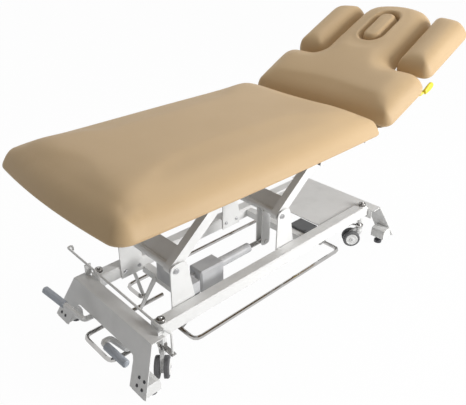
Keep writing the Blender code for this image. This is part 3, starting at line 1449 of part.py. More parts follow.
def build_link_rod(lift):
    """Rod across the foot end that stands on the near castor's lifting bar."""
    bar_top = LIFT_COLLAR_Z + LIFT_COLLAR_H / 2.0 + LIFT_BAR_T / 2.0
    drop_y = -(STEM_Y + LIFT_BAR_OUT - LIFT_BAR_W / 2.0)
    points = [
        (-STEM_X, drop_y, bar_top + GAP),
        (-STEM_X, drop_y, ROD_Z - ROD_BEND),
        (ROD_X, drop_y + ROD_BEND, ROD_Z),
        (ROD_FAR_X, ROD_FAR_Y, ROD_FAR_Z),
        (ROD_FAR_X + ROD_HOOK, ROD_FAR_Y, ROD_FAR_Z),
        (ROD_FAR_X + ROD_HOOK, ROD_FAR_Y, ROD_FAR_Z - ROD_HOOK),
    ]
    own = [into(lift, p) for p in points]
    return tube("castor_link_rod", own, ROD_R, "white_coat", lift, bend=ROD_BEND / 2.0, steps=2)


def build_grip(name, start, end, parent):
    """A soft sleeve over the last stretch of a pedal tube, closed at its end."""
    run = end - start
    unit = run.normalized()
    bore = PEDAL_TUBE_R * ROUND_SHARE + GAP
    outer = PEDAL_TUBE_R + GRIP_WALL
    inside = GRIP_LENGTH - GRIP_END
    return turned(
        name,
        [(0.0, GRIP_LENGTH), (outer - GRIP_WALL, GRIP_LENGTH),
         (outer, GRIP_LENGTH - GRIP_WALL), (outer, EDGE), (outer - EDGE, 0.0), (bore, 0.0),
         (bore, inside), (0.0, inside)],
        "grip_grey", parent, end - unit * (inside - GAP), unit.to_track_quat("Z", "Y").to_euler(),
        segments=12,
    )


def build_pedals(axis):
    """The pedal rocker under the foot bridge with its two tubes and grips.

    The axis empty is on the rocker's shaft, which runs along X.
    """
    own = [[into(axis, point) for point in path] for path in (RAISED_PEDAL, LOWERED_PEDAL)]
    rocker = box(
        "pedal_rocker", (ROCKER_W, 2.0 * ROCKER_BEAM_HALF, ROCKER_T), "white_coat", axis,
        (0.0, 0.0, 0.0), (ROCKER_TILT, 0.0, 0.0),
    )
    hub_half = ROCKER_W / 2.0
    joined = [rod_between(
        "rocker_hub", (-hub_half, 0.0, 0.0), (hub_half, 0.0, 0.0), ROCKER_HUB_R, "white_coat",
        axis, segments=16,
    )]
    for label, path in zip(("left", "right"), own):
        joined.append(tube(
            f"pedal_tube_{label}", path, PEDAL_TUBE_R, "white_coat", axis, bend=PEDAL_BEND,
            steps=3,
        ))
        build_grip(f"pedal_grip_{label}", path[-2], path[-1], axis)
    combine(rocker, joined)
    return cut(rocker, rod_between(
        "cut_rocker", (-ROCKER_W, 0.0, 0.0), (ROCKER_W, 0.0, 0.0), ROCKER_SHAFT_R + PIN_GAP,
        "steel", axis, segments=16,
    ))


def build_rocker_bracket(parent):
    """The plate and shaft under the foot bridge that carry the pedal rocker."""
    rear_x = -(BASE_LENGTH / 2.0 - BRIDGE_TOP_DEPTH)
    low = PEDAL_AXIS_Z - ROCKER_HUB_R
    high = BRIDGE_TOP_Z - BRIDGE_FLANGE + SHEET
    shaft_end = PEDAL_X - ROCKER_W / 2.0 - RUN_GAP * 2.0
    return [
        box(
            "rocker_plate", (TAB_T, ROCKER_HUB_R * 2.0, high - low), "white_coat", parent,
            (rear_x - SHEET / 2.0, 0.0, (low + high) / 2.0),
        ),
        rod_between(
            "rocker_shaft", (rear_x - SHEET / 2.0, 0.0, PEDAL_AXIS_Z),
            (shaft_end, 0.0, PEDAL_AXIS_Z), ROCKER_SHAFT_R, "white_coat", parent, segments=16,
        ),
    ]


def build_bars(base):
    """The three chrome switch bars and the hanger of the end bar."""
    for hand, label in ((-1, "near"), (1, "far")):
        axis = pivot(
            f"pivot_switch_bar_{label}", (0.0, hand * SIDE_BAR_INNER_Y, SIDE_BAR_Z), base
        )
        out = hand * (SIDE_BAR_Y - SIDE_BAR_INNER_Y)
        points = [
            (SIDE_BAR_FOOT_X + BAR_TURN_IN, 0.0, 0.0), (SIDE_BAR_FOOT_X, 0.0, 0.0),
            (SIDE_BAR_FOOT_X, out, 0.0), (SIDE_BAR_HEAD_X, out, 0.0),
            (SIDE_BAR_HEAD_X, 0.0, 0.0), (SIDE_BAR_HEAD_X - BAR_TURN_IN, 0.0, 0.0),
        ]
        tube(
            f"switch_bar_{label}", points, BAR_R, "chrome", axis,
            bend=[BAR_R * 1.3, BAR_BEND, BAR_BEND, BAR_R * 1.3], steps=3,
        )
    axis = pivot("pivot_switch_bar_end", (END_PIVOT_X, 0.0, END_BAR_Z), base)
    inner, outer = END_BAR_INNER_X - END_PIVOT_X, END_BAR_X - END_PIVOT_X
    bar = tube(
        "switch_bar_end",
        [(inner, -END_BAR_Y, 0.0), (outer, -END_BAR_Y, 0.0), (outer, END_BAR_Y, 0.0),
         (inner, END_BAR_Y, 0.0)],
        BAR_R, "chrome", axis, bend=BAR_BEND, steps=4,
    )
    cut(bar, rod_between(
        "cut_end_bar", (0.0, -END_BAR_Y - BAR_BEND, 0.0), (0.0, END_BAR_Y + BAR_BEND, 0.0),
        STRUT_PIN_R + PIN_GAP, "steel", axis, segments=16,
    ))
    strap_y = END_BAR_Y - BAR_R - RUN_GAP - HANGER_T / 2.0
    back_x = CROSS_FOOT_X - CROSS_TUBE / 2.0 - GAP - HANGER_T / 2.0
    top_z = MOUNT_Z - HANGER_T
    half = HANGER_W / 2.0
    hanger = box(
        "bar_hanger", (HANGER_T, 2.0 * strap_y + HANGER_T, HANGER_W), "white_coat", base,
        (back_x, 0.0, top_z - half),
    )
    joined = []
    outline = rounded(
        [(back_x + HANGER_T / 2.0, top_z), (back_x + HANGER_T / 2.0, top_z - HANGER_W),
         (END_PIVOT_X + half * 0.6, END_BAR_Z - half * 0.7),
         (END_PIVOT_X - half * 0.6, END_BAR_Z - half * 0.2),
         (back_x - half, top_z)],
        [0.0, 0.0, half * 0.5, half * 0.5, half],
    )
    for hand in (-1, 1):
        joined.append(plate(
            f"hanger_strap_{hand}", outline, HANGER_T, "white_coat", base,
            (0.0, hand * strap_y, 0.0),
        ))
        joined.append(rod_between(
            f"hanger_pin_{hand}", (END_PIVOT_X, hand * strap_y, END_BAR_Z),
            (END_PIVOT_X, hand * (END_BAR_Y + BAR_R + RUN_GAP), END_BAR_Z), STRUT_PIN_R,
            "white_coat", base,
        ))
    combine(hanger, joined)


def recentre(root):
    """Move the root so that the built table is centred over the origin and stands on it."""
    bpy.context.view_layer.update()
    graph = bpy.context.evaluated_depsgraph_get()
    low, high = [math.inf] * 3, [-math.inf] * 3
    for obj in PARTS.objects:
        if obj.type != "MESH":
            continue
        solid = obj.evaluated_get(graph)
        for vert in solid.data.vertices:
            place = solid.matrix_world @ vert.co
            for i in range(3):
                low[i] = min(low[i], place[i])
                high[i] = max(high[i], place[i])
    root.location.x -= (low[0] + high[0]) / 2.0
    root.location.y -= (low[1] + high[1]) / 2.0
    root.location.z -= low[2]
    bpy.context.view_layer.update()


def build_all():
    """Build the whole table and centre it on the origin."""
    global ROOT
    clear_scene()
    ROOT = pivot("massage_table_root", (0.0, 0.0, 0.0))
    for side in (-1, 1):
        build_bridge(side, ROOT)
    build_base_frame(ROOT)
    build_levelling_feet(ROOT)
    build_deck(ROOT)
    build_towers(ROOT)
    lift_foot = pivot("pivot_lift_foot", (LIFT_FOOT_X, 0.0, PIVOT_Z), ROOT)
    lift_head = pivot("pivot_lift_head", (LIFT_HEAD_X, 0.0, PIVOT_Z), ROOT)
    build_lift_frame("foot", lift_foot, crank=False)
    build_lift_frame("head", lift_head, crank=True)
    tower_face = RAIL_INNER_Y
    axle("lower_axle_foot", LIFT_FOOT_X, PIVOT_Z, tower_face, ROOT)
    axle("lower_axle_head", LIFT_HEAD_X, PIVOT_Z, tower_face, ROOT)
    rise = Vector((math.cos(LIFT_ANGLE), 0.0, math.sin(LIFT_ANGLE))) * LIFT_ARM
    top = pivot("pivot_top", rise, lift_foot)
    top_at = Vector((LIFT_FOOT_X, 0.0, PIVOT_Z)) + rise

    def base_place(x, y, z):
        return Vector((x, y, z)) - top_at

    build_top(top, base_place)
    ear_face = arm_outer_y() + RUN_GAP + EAR_PLATE + GAP
    axle("upper_axle_foot", 0.0, 0.0, ear_face, top)
    axle("upper_axle_head", LIFT_HEAD_X - LIFT_FOOT_X, 0.0, ear_face, top)
    act = pivot("pivot_actuator", (ACT_REAR_X, ACT_Y, ACT_Z), ROOT)
    act_rod = pivot("pivot_actuator_rod", (LIFT_HEAD_X - ACT_REAR_X, 0.0, 0.0), act)
    build_actuator(ROOT, act, act_rod)
    head = pivot("pivot_head", base_place(HINGE_X, 0.0, HINGE_Z), top, tilt=-HEAD_TILT)
    build_head(head)
    under = HEAD_TOP_Z - HEAD_THICKNESS
    for hand, label in ((-1, "near"), (1, "far")):
        middle = hand * (HINGE_Y - HINGE_EAR / 2.0 - RUN_GAP / 2.0)
        half = HINGE_EAR + RUN_GAP / 2.0 + GAP
        pin = axle(f"head_hinge_pin_{label}", HINGE_X - top_at.x, HINGE_Z - top_at.z, half, top,
                   shank=HINGE_PIN_R)
        pin.location.y = middle
    plug_at = (HEAD_START_X + FACE_HOLE_AT, 0.0, HEAD_TOP_Z + PLUG_RISE)
    build_plug(pivot("pivot_face_plug", plug_at, head))
    strut_foot = into(top, (STRUT_X, STRUT_Y, STRUT_Z))
    strut = pivot("pivot_gas_strut", strut_foot, top)
    head_world = head.matrix_world @ Vector((STRUT_ALONG, STRUT_Y, -STRUT_DROP))
    run = head_world - strut.matrix_world.translation
    strut_rod = pivot("pivot_gas_strut_rod", run, strut)
    build_strut(strut, strut_rod, run)
    lever_at = (LEVER_ALONG, LEVER_START_Y, under - BOARD - GAP * 2.0 - HEAD_TUBE / 2.0)
    build_release_lever(pivot("pivot_release_lever", lever_at, head))
    stems = {label: build_castor(label, ROOT) for label in CASTOR_HEADINGS}
    build_link_rod(stems["foot_near"])
    build_pedals(pivot("pivot_pedals", (PEDAL_X, 0.0, PEDAL_AXIS_Z), ROOT))
    build_bars(ROOT)
    recentre(ROOT)


if __name__ == "__main__":
    build_all()
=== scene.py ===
"""Massage table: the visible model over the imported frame.

Upholstery, coats, small fasteners and trim for a powered treatment couch. Every piece
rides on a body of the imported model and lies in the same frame, in metres, +Z up.
"""
import json
import logging
import math
from dataclasses import dataclass
from enum import Enum
from typing import Callable, Iterable, Sequence

import bmesh
import bpy
import numpy as np
from mathutils import Matrix, Vector
from mathutils.geometry import delaunay_2d_cdt


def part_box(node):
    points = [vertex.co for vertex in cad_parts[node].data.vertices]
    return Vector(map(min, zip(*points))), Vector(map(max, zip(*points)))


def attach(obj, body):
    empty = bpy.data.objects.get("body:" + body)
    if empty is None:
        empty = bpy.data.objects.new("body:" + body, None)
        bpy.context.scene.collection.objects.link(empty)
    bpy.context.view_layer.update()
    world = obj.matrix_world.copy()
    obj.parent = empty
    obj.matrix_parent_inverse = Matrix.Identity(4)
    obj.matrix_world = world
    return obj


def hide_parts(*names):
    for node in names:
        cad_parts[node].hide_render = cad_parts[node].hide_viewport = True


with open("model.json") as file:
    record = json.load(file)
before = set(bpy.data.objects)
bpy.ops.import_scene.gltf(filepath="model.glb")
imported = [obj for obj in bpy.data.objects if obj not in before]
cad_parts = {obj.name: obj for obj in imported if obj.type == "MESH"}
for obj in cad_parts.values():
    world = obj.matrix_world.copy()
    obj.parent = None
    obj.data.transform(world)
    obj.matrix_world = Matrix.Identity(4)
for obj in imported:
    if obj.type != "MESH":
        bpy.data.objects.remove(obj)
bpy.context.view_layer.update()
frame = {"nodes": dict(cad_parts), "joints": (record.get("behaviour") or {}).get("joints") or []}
LOG = logging.getLogger("massage_table")

Colour = tuple[float, float, float]
Ring = list[bmesh.types.BMVert]
Spots = tuple[tuple[Vector, Vector], ...]
NODES: dict[str, bpy.types.Object] = frame["nodes"]
JOINTS: dict[str, dict] = {joint["name"]: joint for joint in frame["joints"]}
STEMS: tuple[str, ...] = ("foot_near", "foot_far", "head_near", "head_far")
COLOUR_SOCKET = "NodeSocketColor"
VALUE_SOCKET = "NodeSocketFloat"

UP = Vector((0.0, 0.0, 1.0))
NEAR = Vector((0.0, -1.0, 0.0))
FAR = Vector((0.0, 1.0, 0.0))
HEAD_TILT = math.radians(25.2)
HEAD_SEAT = Vector((-math.sin(HEAD_TILT), 0.0, math.cos(HEAD_TILT)))
HINGE = Vector((0.25681, 0.0, 0.628))


class Slot(Enum):
    """The record's material slots, by name; no piece takes its finish from them."""

    COVER = "beige_cover"
    STEEL = "steel"
    DARK = "dark_plastic"
    WHEEL = "wheel_white"
    YELLOW = "lever_yellow"


class Head(Enum):
    """Screw heads: (share of the radius, share of the height, corners) of each ring."""

    HEX = ((1.0, 0.18, 6), (1.0, 0.92, 6), (0.93, 1.0, 0), (0.45, 1.0, 0), (0.40, 0.97, 0))
    ROUND = ((1.0, 0.2, 0), (0.97, 0.6, 0), (0.86, 0.9, 0), (0.7, 1.0, 0), (0.46, 1.0, 6),
             (0.44, 0.35, 6))


WASHER = ((1.28, 0.0, 0), (1.28, 0.12, 0), (1.20, 0.17, 0))
SCREW_SHARP = 30.0
SCREW_STEPS = 24


# Shader groups

PORE_SCALE = 1900.0
PORE_DEPTH = 0.25
PEBBLE_EDGE = 0.22
PEBBLE_ROUGHNESS = (0.58, 0.44)
DUST_SCALE = 14.0
BUMP_STRENGTH = 0.6


def new_group(name: str,
              inputs: Sequence[tuple[str, str, float | Colour]]) -> bpy.types.ShaderNodeTree:
    """Make a shader group with Colour, Roughness and Height outputs.

    Args:
        name: the group's name.
        inputs: (name, socket type, default) for each input.

    Returns:
        The group with its Group Input and Group Output nodes placed.
    """
    tree = bpy.data.node_groups.new(name, "ShaderNodeTree")
    for label, kind, default in inputs:
        socket = tree.interface.new_socket(label, in_out="INPUT", socket_type=kind)
        socket.default_value = (*default, 1.0) if isinstance(default, tuple) else default
    for label, kind in (("Colour", COLOUR_SOCKET), ("Roughness", VALUE_SOCKET),
                        ("Height", VALUE_SOCKET)):
        tree.interface.new_socket(label, in_out="OUTPUT", socket_type=kind)
    tree.nodes.new("NodeGroupInput").name = "in"
    tree.nodes.new("NodeGroupOutput").name = "out"
    return tree


def noise(tree: bpy.types.ShaderNodeTree, vector: bpy.types.NodeSocket,
          scale: bpy.types.NodeSocket | float, detail: float) -> bpy.types.Node:
    """Add a noise texture on the given vector and return its node."""
    node = tree.nodes.new("ShaderNodeTexNoise")
    node.inputs["Detail"].default_value = detail
    tree.links.new(vector, node.inputs["Vector"])
    if isinstance(scale, float):
        node.inputs["Scale"].default_value = scale
    else:
        tree.links.new(scale, node.inputs["Scale"])
    return node


def blend_colour(tree: bpy.types.ShaderNodeTree, factor: bpy.types.NodeSocket,
                 first: bpy.types.NodeSocket,
                 second: bpy.types.NodeSocket) -> bpy.types.NodeSocket:
    """Mix two colour sockets by a factor and return the result."""
    node = tree.nodes.new("ShaderNodeMix")
    node.data_type = "RGBA"
    tree.links.new(factor, node.inputs[0])
    tree.links.new(first, node.inputs[6])
    tree.links.new(second, node.inputs[7])
    return node.outputs[2]


def ranged(tree: bpy.types.ShaderNodeTree, value: bpy.types.NodeSocket,
           low: float, high: float, to_low: float, to_high: float) -> bpy.types.NodeSocket:
    """Map a value from one range to another, clamped."""
    node = tree.nodes.new("ShaderNodeMapRange")
    tree.links.new(value, node.inputs["Value"])
    node.inputs["From Min"].default_value = low
    node.inputs["From Max"].default_value = high
    node.inputs["To Min"].default_value = to_low
    node.inputs["To Max"].default_value = to_high
    return node.outputs["Result"]


def maths(tree: bpy.types.NodeTree, operation: str,
          *values: bpy.types.NodeSocket | float) -> bpy.types.NodeSocket:
    """Add a math node on sockets or numbers and return its result."""
    node = tree.nodes.new("ShaderNodeMath")
    node.operation = operation
    for entry, value in zip(node.inputs, values):
        if isinstance(value, float):
            entry.default_value = value
        else:
            tree.links.new(value, entry)
    return node.outputs[0]


def hide_group() -> bpy.types.ShaderNodeTree:
    """Grain of artificial leather: pebbles, fine pores and a slow change of tone."""
    tree = new_group(
        "hide_grain",
        [("Tone", COLOUR_SOCKET, (0.5, 0.4, 0.3)), ("Shade", COLOUR_SOCKET, (0.4, 0.3, 0.2)),
         ("Grain Scale", VALUE_SOCKET, 620.0), ("Mottle Scale", VALUE_SOCKET, 9.0)],
    )
    entry, exit_node = tree.nodes["in"], tree.nodes["out"]
    coords = tree.nodes.new("ShaderNodeTexCoord")
    cells = tree.nodes.new("ShaderNodeTexVoronoi")
    cells.feature = "DISTANCE_TO_EDGE"
    tree.links.new(coords.outputs["Object"], cells.inputs["Vector"])
    tree.links.new(entry.outputs["Grain Scale"], cells.inputs["Scale"])
    pebble = ranged(tree, cells.outputs["Distance"], 0.0, PEBBLE_EDGE, 0.0, 1.0)
    pores = noise(tree, coords.outputs["Object"], PORE_SCALE, 2.0)
    slow = noise(tree, coords.outputs["Object"], entry.outputs["Mottle Scale"], 3.0)
    tone = ranged(tree, slow.outputs["Fac"], 0.35, 0.65, 0.0, 1.0)
    mixed = blend_colour(tree, tone, entry.outputs["Tone"], entry.outputs["Shade"])
    tree.links.new(mixed, exit_node.inputs["Colour"])
    rough = ranged(tree, pebble, 0.0, 1.0, *PEBBLE_ROUGHNESS)
    tree.links.new(rough, exit_node.inputs["Roughness"])
    height = maths(tree, "MULTIPLY_ADD", pores.outputs["Fac"], PORE_DEPTH, pebble)
    tree.links.new(height, exit_node.inputs["Height"])
    return tree


def coat_group() -> bpy.types.ShaderNodeTree:
    """Powder coat: orange peel, light dust in the tone and wear of the gloss."""
    tree = new_group(
        "powder_coat",
        [("Tone", COLOUR_SOCKET, (0.8, 0.8, 0.8)), ("Dust", COLOUR_SOCKET, (0.7, 0.7, 0.7)),
         ("Peel Scale", VALUE_SOCKET, 260.0), ("Gloss", VALUE_SOCKET, 0.3),
         ("Dull", VALUE_SOCKET, 0.45)],
    )
    entry, exit_node = tree.nodes["in"], tree.nodes["out"]
    coords = tree.nodes.new("ShaderNodeTexCoord")
    peel = noise(tree, coords.outputs["Object"], entry.outputs["Peel Scale"], 2.0)
    dust = noise(tree, coords.outputs["Object"], DUST_SCALE, 5.0)
    amount = ranged(tree, dust.outputs["Fac"], 0.45, 0.75, 0.0, 1.0)
    mixed = blend_colour(tree, amount, entry.outputs["Tone"], entry.outputs["Dust"])
    tree.links.new(mixed, exit_node.inputs["Colour"])
    span = tree.nodes.new("ShaderNodeMix")
    tree.links.new(amount, span.inputs[0])
    tree.links.new(entry.outputs["Gloss"], span.inputs[2])
    tree.links.new(entry.outputs["Dull"], span.inputs[3])
    tree.links.new(span.outputs[0], exit_node.inputs["Roughness"])
    tree.links.new(peel.outputs["Fac"], exit_node.inputs["Height"])
    return tree


GROUP_MAKERS: dict[str, Callable[[], bpy.types.ShaderNodeTree]] = {
    "hide_grain": hide_group,
    "powder_coat": coat_group,
}
GROUPS: dict[str, bpy.types.ShaderNodeTree] = {}


@dataclass(frozen=True)
class Finish:
    """One surface finish, made as a material on first use.

    Attributes:
        name: the material's name.
        group: the shader group that carries its pattern.
        values: inputs of the group.
        bump: height of the relief in metres.
        metallic: how metallic the surface is.
        coat: weight of the clear layer.
        sheen: weight of the soft edge light.
        specular: level of the mirror reflection.
    """

    name: str
    group: str
    values: tuple[tuple[str, float | Colour], ...]
    bump: float = 0.0001
    metallic: float = 0.0
    coat: float = 0.0
    sheen: float = 0.0
    specular: float = 0.5

    def material(self) -> bpy.types.Material:
        """Return the finish as a material."""
        found = bpy.data.materials.get(self.name)
        if found is not None:
            return found
        if self.group not in GROUPS:
            GROUPS[self.group] = GROUP_MAKERS[self.group]()
        mat = bpy.data.materials.new(self.name)
        mat.use_nodes = True
        tree = mat.node_tree
        shader = tree.nodes["Principled BSDF"]
        pattern = tree.nodes.new("ShaderNodeGroup")
        pattern.node_tree = GROUPS[self.group]
        for label, value in self.values:
            pattern.inputs[label].default_value = (
                (*value, 1.0) if isinstance(value, tuple) else value
            )
        relief = tree.nodes.new("ShaderNodeBump")
        relief.inputs["Distance"].default_value = self.bump
        relief.inputs["Strength"].default_value = BUMP_STRENGTH
        tree.links.new(pattern.outputs["Colour"], shader.inputs["Base Color"])
        tree.links.new(pattern.outputs["Roughness"], shader.inputs["Roughness"])
        tree.links.new(pattern.outputs["Height"], relief.inputs["Height"])
        tree.links.new(relief.outputs["Normal"], shader.inputs["Normal"])
        shader.inputs["Metallic"].default_value = self.metallic
        shader.inputs["Coat Weight"].default_value = self.coat
        shader.inputs["Sheen Weight"].default_value = self.sheen
        shader.inputs["Specular IOR Level"].default_value = self.specular
        return mat


def coat(name: str, tone: Colour, dust: Colour, gloss: float, dull: float,
         peel: float = 260.0, **more: float) -> Finish:
    """A finish on the powder coat group.

    Args:
        name: the material's name.
        tone: main colour.
        dust: colour where dust or wear lies.
        gloss: roughness of the clean surface.
        dull: roughness of the worn surface.
        peel: scale of the surface's waviness.
        more: other Finish fields.

    Returns:
        The finish.
    """
    values = (("Tone", tone), ("Dust", dust), ("Peel Scale", peel), ("Gloss", gloss),
              ("Dull", dull))
    return Finish(name, "powder_coat", values, **more)


COVER = Finish(
    "beige_artificial_leather", "hide_grain",
    (("Tone", (0.568, 0.404, 0.226)), ("Shade", (0.553, 0.391, 0.217)),
     ("Grain Scale", 620.0), ("Mottle Scale", 7.0)),
    bump=0.00010, sheen=0.04, specular=0.30,
)
WHITE = coat("white_powder_coat", (0.81, 0.81, 0.80), (0.75, 0.75, 0.74), 0.30, 0.42,
             bump=0.00012, coat=0.15)
CHROME = coat("polished_chrome", (0.50, 0.49, 0.48), (0.42, 0.41, 0.40), 0.07, 0.16,
              peel=40.0, bump=0.00002, metallic=1.0)
ZINC = coat("zinc_plated_steel", (0.56, 0.56, 0.57), (0.42, 0.42, 0.42), 0.28, 0.46,
            peel=500.0, bump=0.00004, metallic=1.0)
KNOB = coat("dark_chrome", (0.26, 0.25, 0.24), (0.20, 0.19, 0.18), 0.16, 0.30, peel=60.0,
            bump=0.00003, metallic=1.0)
MOTOR = coat("pale_grey_plastic", (0.56, 0.565, 0.575), (0.48, 0.485, 0.50), 0.42, 0.55,
             peel=900.0, bump=0.00008)
GRIP = coat("grey_grip_rubber", (0.46, 0.49, 0.54), (0.38, 0.41, 0.45), 0.62, 0.75,
            peel=700.0, bump=0.0002)
DARK = coat("dark_plastic", (0.045, 0.045, 0.048), (0.08, 0.08, 0.082), 0.45, 0.60,
            peel=800.0, bump=0.0001)
BOX = coat("control_box_grey", (0.10, 0.105, 0.11), (0.15, 0.15, 0.155), 0.45, 0.60,
           peel=800.0, bump=0.0001)
TYRE = coat("grey_tyre", (0.11, 0.11, 0.115), (0.17, 0.17, 0.17), 0.62, 0.78,
            peel=600.0, bump=0.00015)
DISC = coat("white_nylon", (0.80, 0.80, 0.79), (0.70, 0.70, 0.69), 0.36, 0.50,
            peel=300.0, bump=0.00008)
# The cover leatherette turned under the boards, its tone painted about half as bright as the
# cover's: painted shade under the cushions.
SHADED_WRAP = Finish("cover_turned_under", "hide_grain",
              (("Tone", (0.30, 0.215, 0.125)), ("Shade", (0.27, 0.19, 0.11)),
               ("Grain Scale", 620.0), ("Mottle Scale", 9.0)),
              bump=0.00010)
YELLOW = coat("yellow_plastic", (0.83, 0.70, 0.03), (0.72, 0.58, 0.03), 0.34, 0.48,
              peel=500.0, bump=0.00006)

NODE_FINISH: dict[str, Finish] = {
    "switch_bar_near": CHROME, "switch_bar_far": CHROME, "switch_bar_end": CHROME,
    "lower_axle_foot": ZINC, "lower_axle_head": ZINC, "upper_axle_foot": ZINC,
    "upper_axle_head": ZINC, "actuator_pin": ZINC, "actuator_rod": CHROME,
    "gas_strut_rod": CHROME, "head_hinge_pin_near": ZINC, "head_hinge_pin_far": ZINC,
    "actuator_mount": MOTOR, "actuator_housing": MOTOR, "actuator_tube": MOTOR,
    "pedal_grip_left": GRIP, "pedal_grip_right": GRIP, "control_box": BOX,
    # main_board and head_board take the cover with painted shade.
    "gas_strut_body": DARK, "main_board": SHADED_WRAP, "head_board": SHADED_WRAP, "release_lever": YELLOW,
    **{f"castor_stem_{stem}": CHROME for stem in STEMS},
    **{f"castor_fork_{stem}": DISC for stem in STEMS},
    **{f"castor_wheels_{stem}": TYRE for stem in STEMS},
    **{f"levelling_foot_{stem}": DARK for stem in STEMS},
}


# Mesh tools

MERGE_DISTANCE = 0.00002


def dress(obj: bpy.types.Object, finish: Finish) -> bpy.types.Object:
    """Give an object one finish and return it."""
    obj.data.materials.clear()
    obj.data.materials.append(finish.material())
    return obj


def placed(name: str, data: bpy.types.ID) -> bpy.types.Object:
    """Make an object of its data, put it into the scene and return it."""
    obj = bpy.data.objects.new(name, data)
    bpy.context.scene.collection.objects.link(obj)
    return obj


def meshed(name: str, shape: bmesh.types.BMesh, angle: float) -> bpy.types.Object:
    """Turn a bmesh into a smooth object and free it.

    Args:
        name: the object's name.
        shape: the mesh.
        angle: edges over this angle, in degrees, stay sharp.

    Returns:
        The new object.
    """
    mesh = bpy.data.meshes.new(name)
    shape.to_mesh(mesh)
    shape.free()
    mesh.shade_smooth()
    mesh.set_sharp_from_angle(angle=math.radians(angle))
    return placed(name, mesh)


def from_bmesh(name: str, shape: bmesh.types.BMesh, finish: Finish, body: str,
               slot: Slot, angle: float = 35.0) -> bpy.types.Object:
    """Turn a bmesh into a finished piece that rides on a body.

    Args:
        name: the piece's name.
        shape: the mesh, in the frame's coordinates; it is freed.
        finish: its finish.
        body: the body that it rides on.
        slot: the record's slot that it belongs to; not used.
        angle: edges over this angle, in degrees, stay sharp.

    Returns:
        The new object.
    """
    obj = meshed(name, shape, angle)
    dress(obj, finish)
    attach(obj, body)
    return obj


def bridge(shape: bmesh.types.BMesh, lower: Ring, upper: Ring) -> None:
    """Join two rings of equal size with faces."""
    size = len(lower)
    for k in range(size):
        nxt = (k + 1) % size
        shape.faces.new((lower[k], lower[nxt], upper[nxt], upper[k]))


def loft(shape: bmesh.types.BMesh, rings: Sequence[Ring]) -> None:
    """Join rings of equal size one after another and close both ends."""
    for lower, upper in zip(rings, rings[1:]):
        bridge(shape, lower, upper)
    shape.faces.new(list(reversed(rings[0])))
    shape.faces.new(rings[-1])


def lathe(shape: bmesh.types.BMesh, profile: Sequence[tuple[float, float]], at: Vector,
          axis: Vector, steps: int) -> None:
    """Add a turned solid to a bmesh.

    Args:
        shape: the mesh to add to.
        profile: (radius, height) points from the lower pole to the upper pole.
        at: the profile's origin.
        axis: direction of its height.
        steps: points around.
    """
    facing = axis.normalized().to_track_quat("Z", "Y").to_matrix().to_4x4()
    place = Matrix.Translation(at) @ facing
    angles = [math.tau * k / steps for k in range(steps)]
    rings: list[Ring] = []
    for radius, height in profile:
        turns = angles if radius > 0.0 else angles[:1]
        rings.append([
            shape.verts.new(
                place @ Vector((radius * math.cos(turn), radius * math.sin(turn), height))
            ) for turn in turns
        ])
    for lower, upper in zip(rings, rings[1:]):
        if len(lower) == 1:
            for k in range(steps):
                shape.faces.new((lower[0], upper[(k + 1) % steps], upper[k]))
        elif len(upper) == 1:
            for k in range(steps):
                shape.faces.new((lower[k], lower[(k + 1) % steps], upper[0]))
        else:
            bridge(shape, lower, upper)


def merged(node: str) -> bmesh.types.BMesh:
    """A closed bmesh of a CAD node, its doubles merged.

    Args:
        node: the node's name.

    Returns:
        The mesh in the frame's coordinates, for the caller to free.
    """
    shape = bmesh.new()
    shape.from_mesh(NODES[node].data)
    bmesh.ops.remove_doubles(shape, verts=shape.verts, dist=MERGE_DISTANCE)
    bmesh.ops.recalc_face_normals(shape, faces=shape.faces)
    return shape


def applied(obj: bpy.types.Object) -> None:
    """Apply all modifiers of an object at the current frame."""
    graph = bpy.context.evaluated_depsgraph_get()
    mesh = bpy.data.meshes.new_from_object(obj.evaluated_get(graph))
    obj.modifiers.clear()
    obj.data = mesh


# Upholstery

SAME_PLACE = 1e-7
NO_LENGTH = 1e-12
ARC_POINTS = 4
SHORT_SHARE = 0.05


@dataclass(frozen=True)
class Corner:
    """A corner of a pad's outline.

    Attributes:
        along: its place along the pad.
        across: its place across the pad.
        radius: the radius that rounds it.
    """

    along: float
    across: float
    radius: float


def rows(vectors: Iterable[Sequence[float]]) -> np.ndarray:
    """Vectors as an array with one row for each."""
    return np.array([tuple(vector) for vector in vectors])


def averaged(values: np.ndarray, pairs: np.ndarray, rounds: int) -> np.ndarray:
    """Move each value half-way to the mean of its neighbours, several times.

    Args:
        values: one number or one row for each point.
        pairs: numbers of neighbouring points, two in a row.
        rounds: how many times.

    Returns:
        The new values.
    """
    count = np.maximum(np.bincount(pairs.ravel(), minlength=len(values)), 1)
    count = count.reshape((-1,) + (1,) * (values.ndim - 1))
    for _ in range(rounds):
        total = np.zeros_like(values)
        np.add.at(total, pairs[:, 0], values[pairs[:, 1]])
        np.add.at(total, pairs[:, 1], values[pairs[:, 0]])
        values = 0.5 * values + 0.5 * total / count
    return values


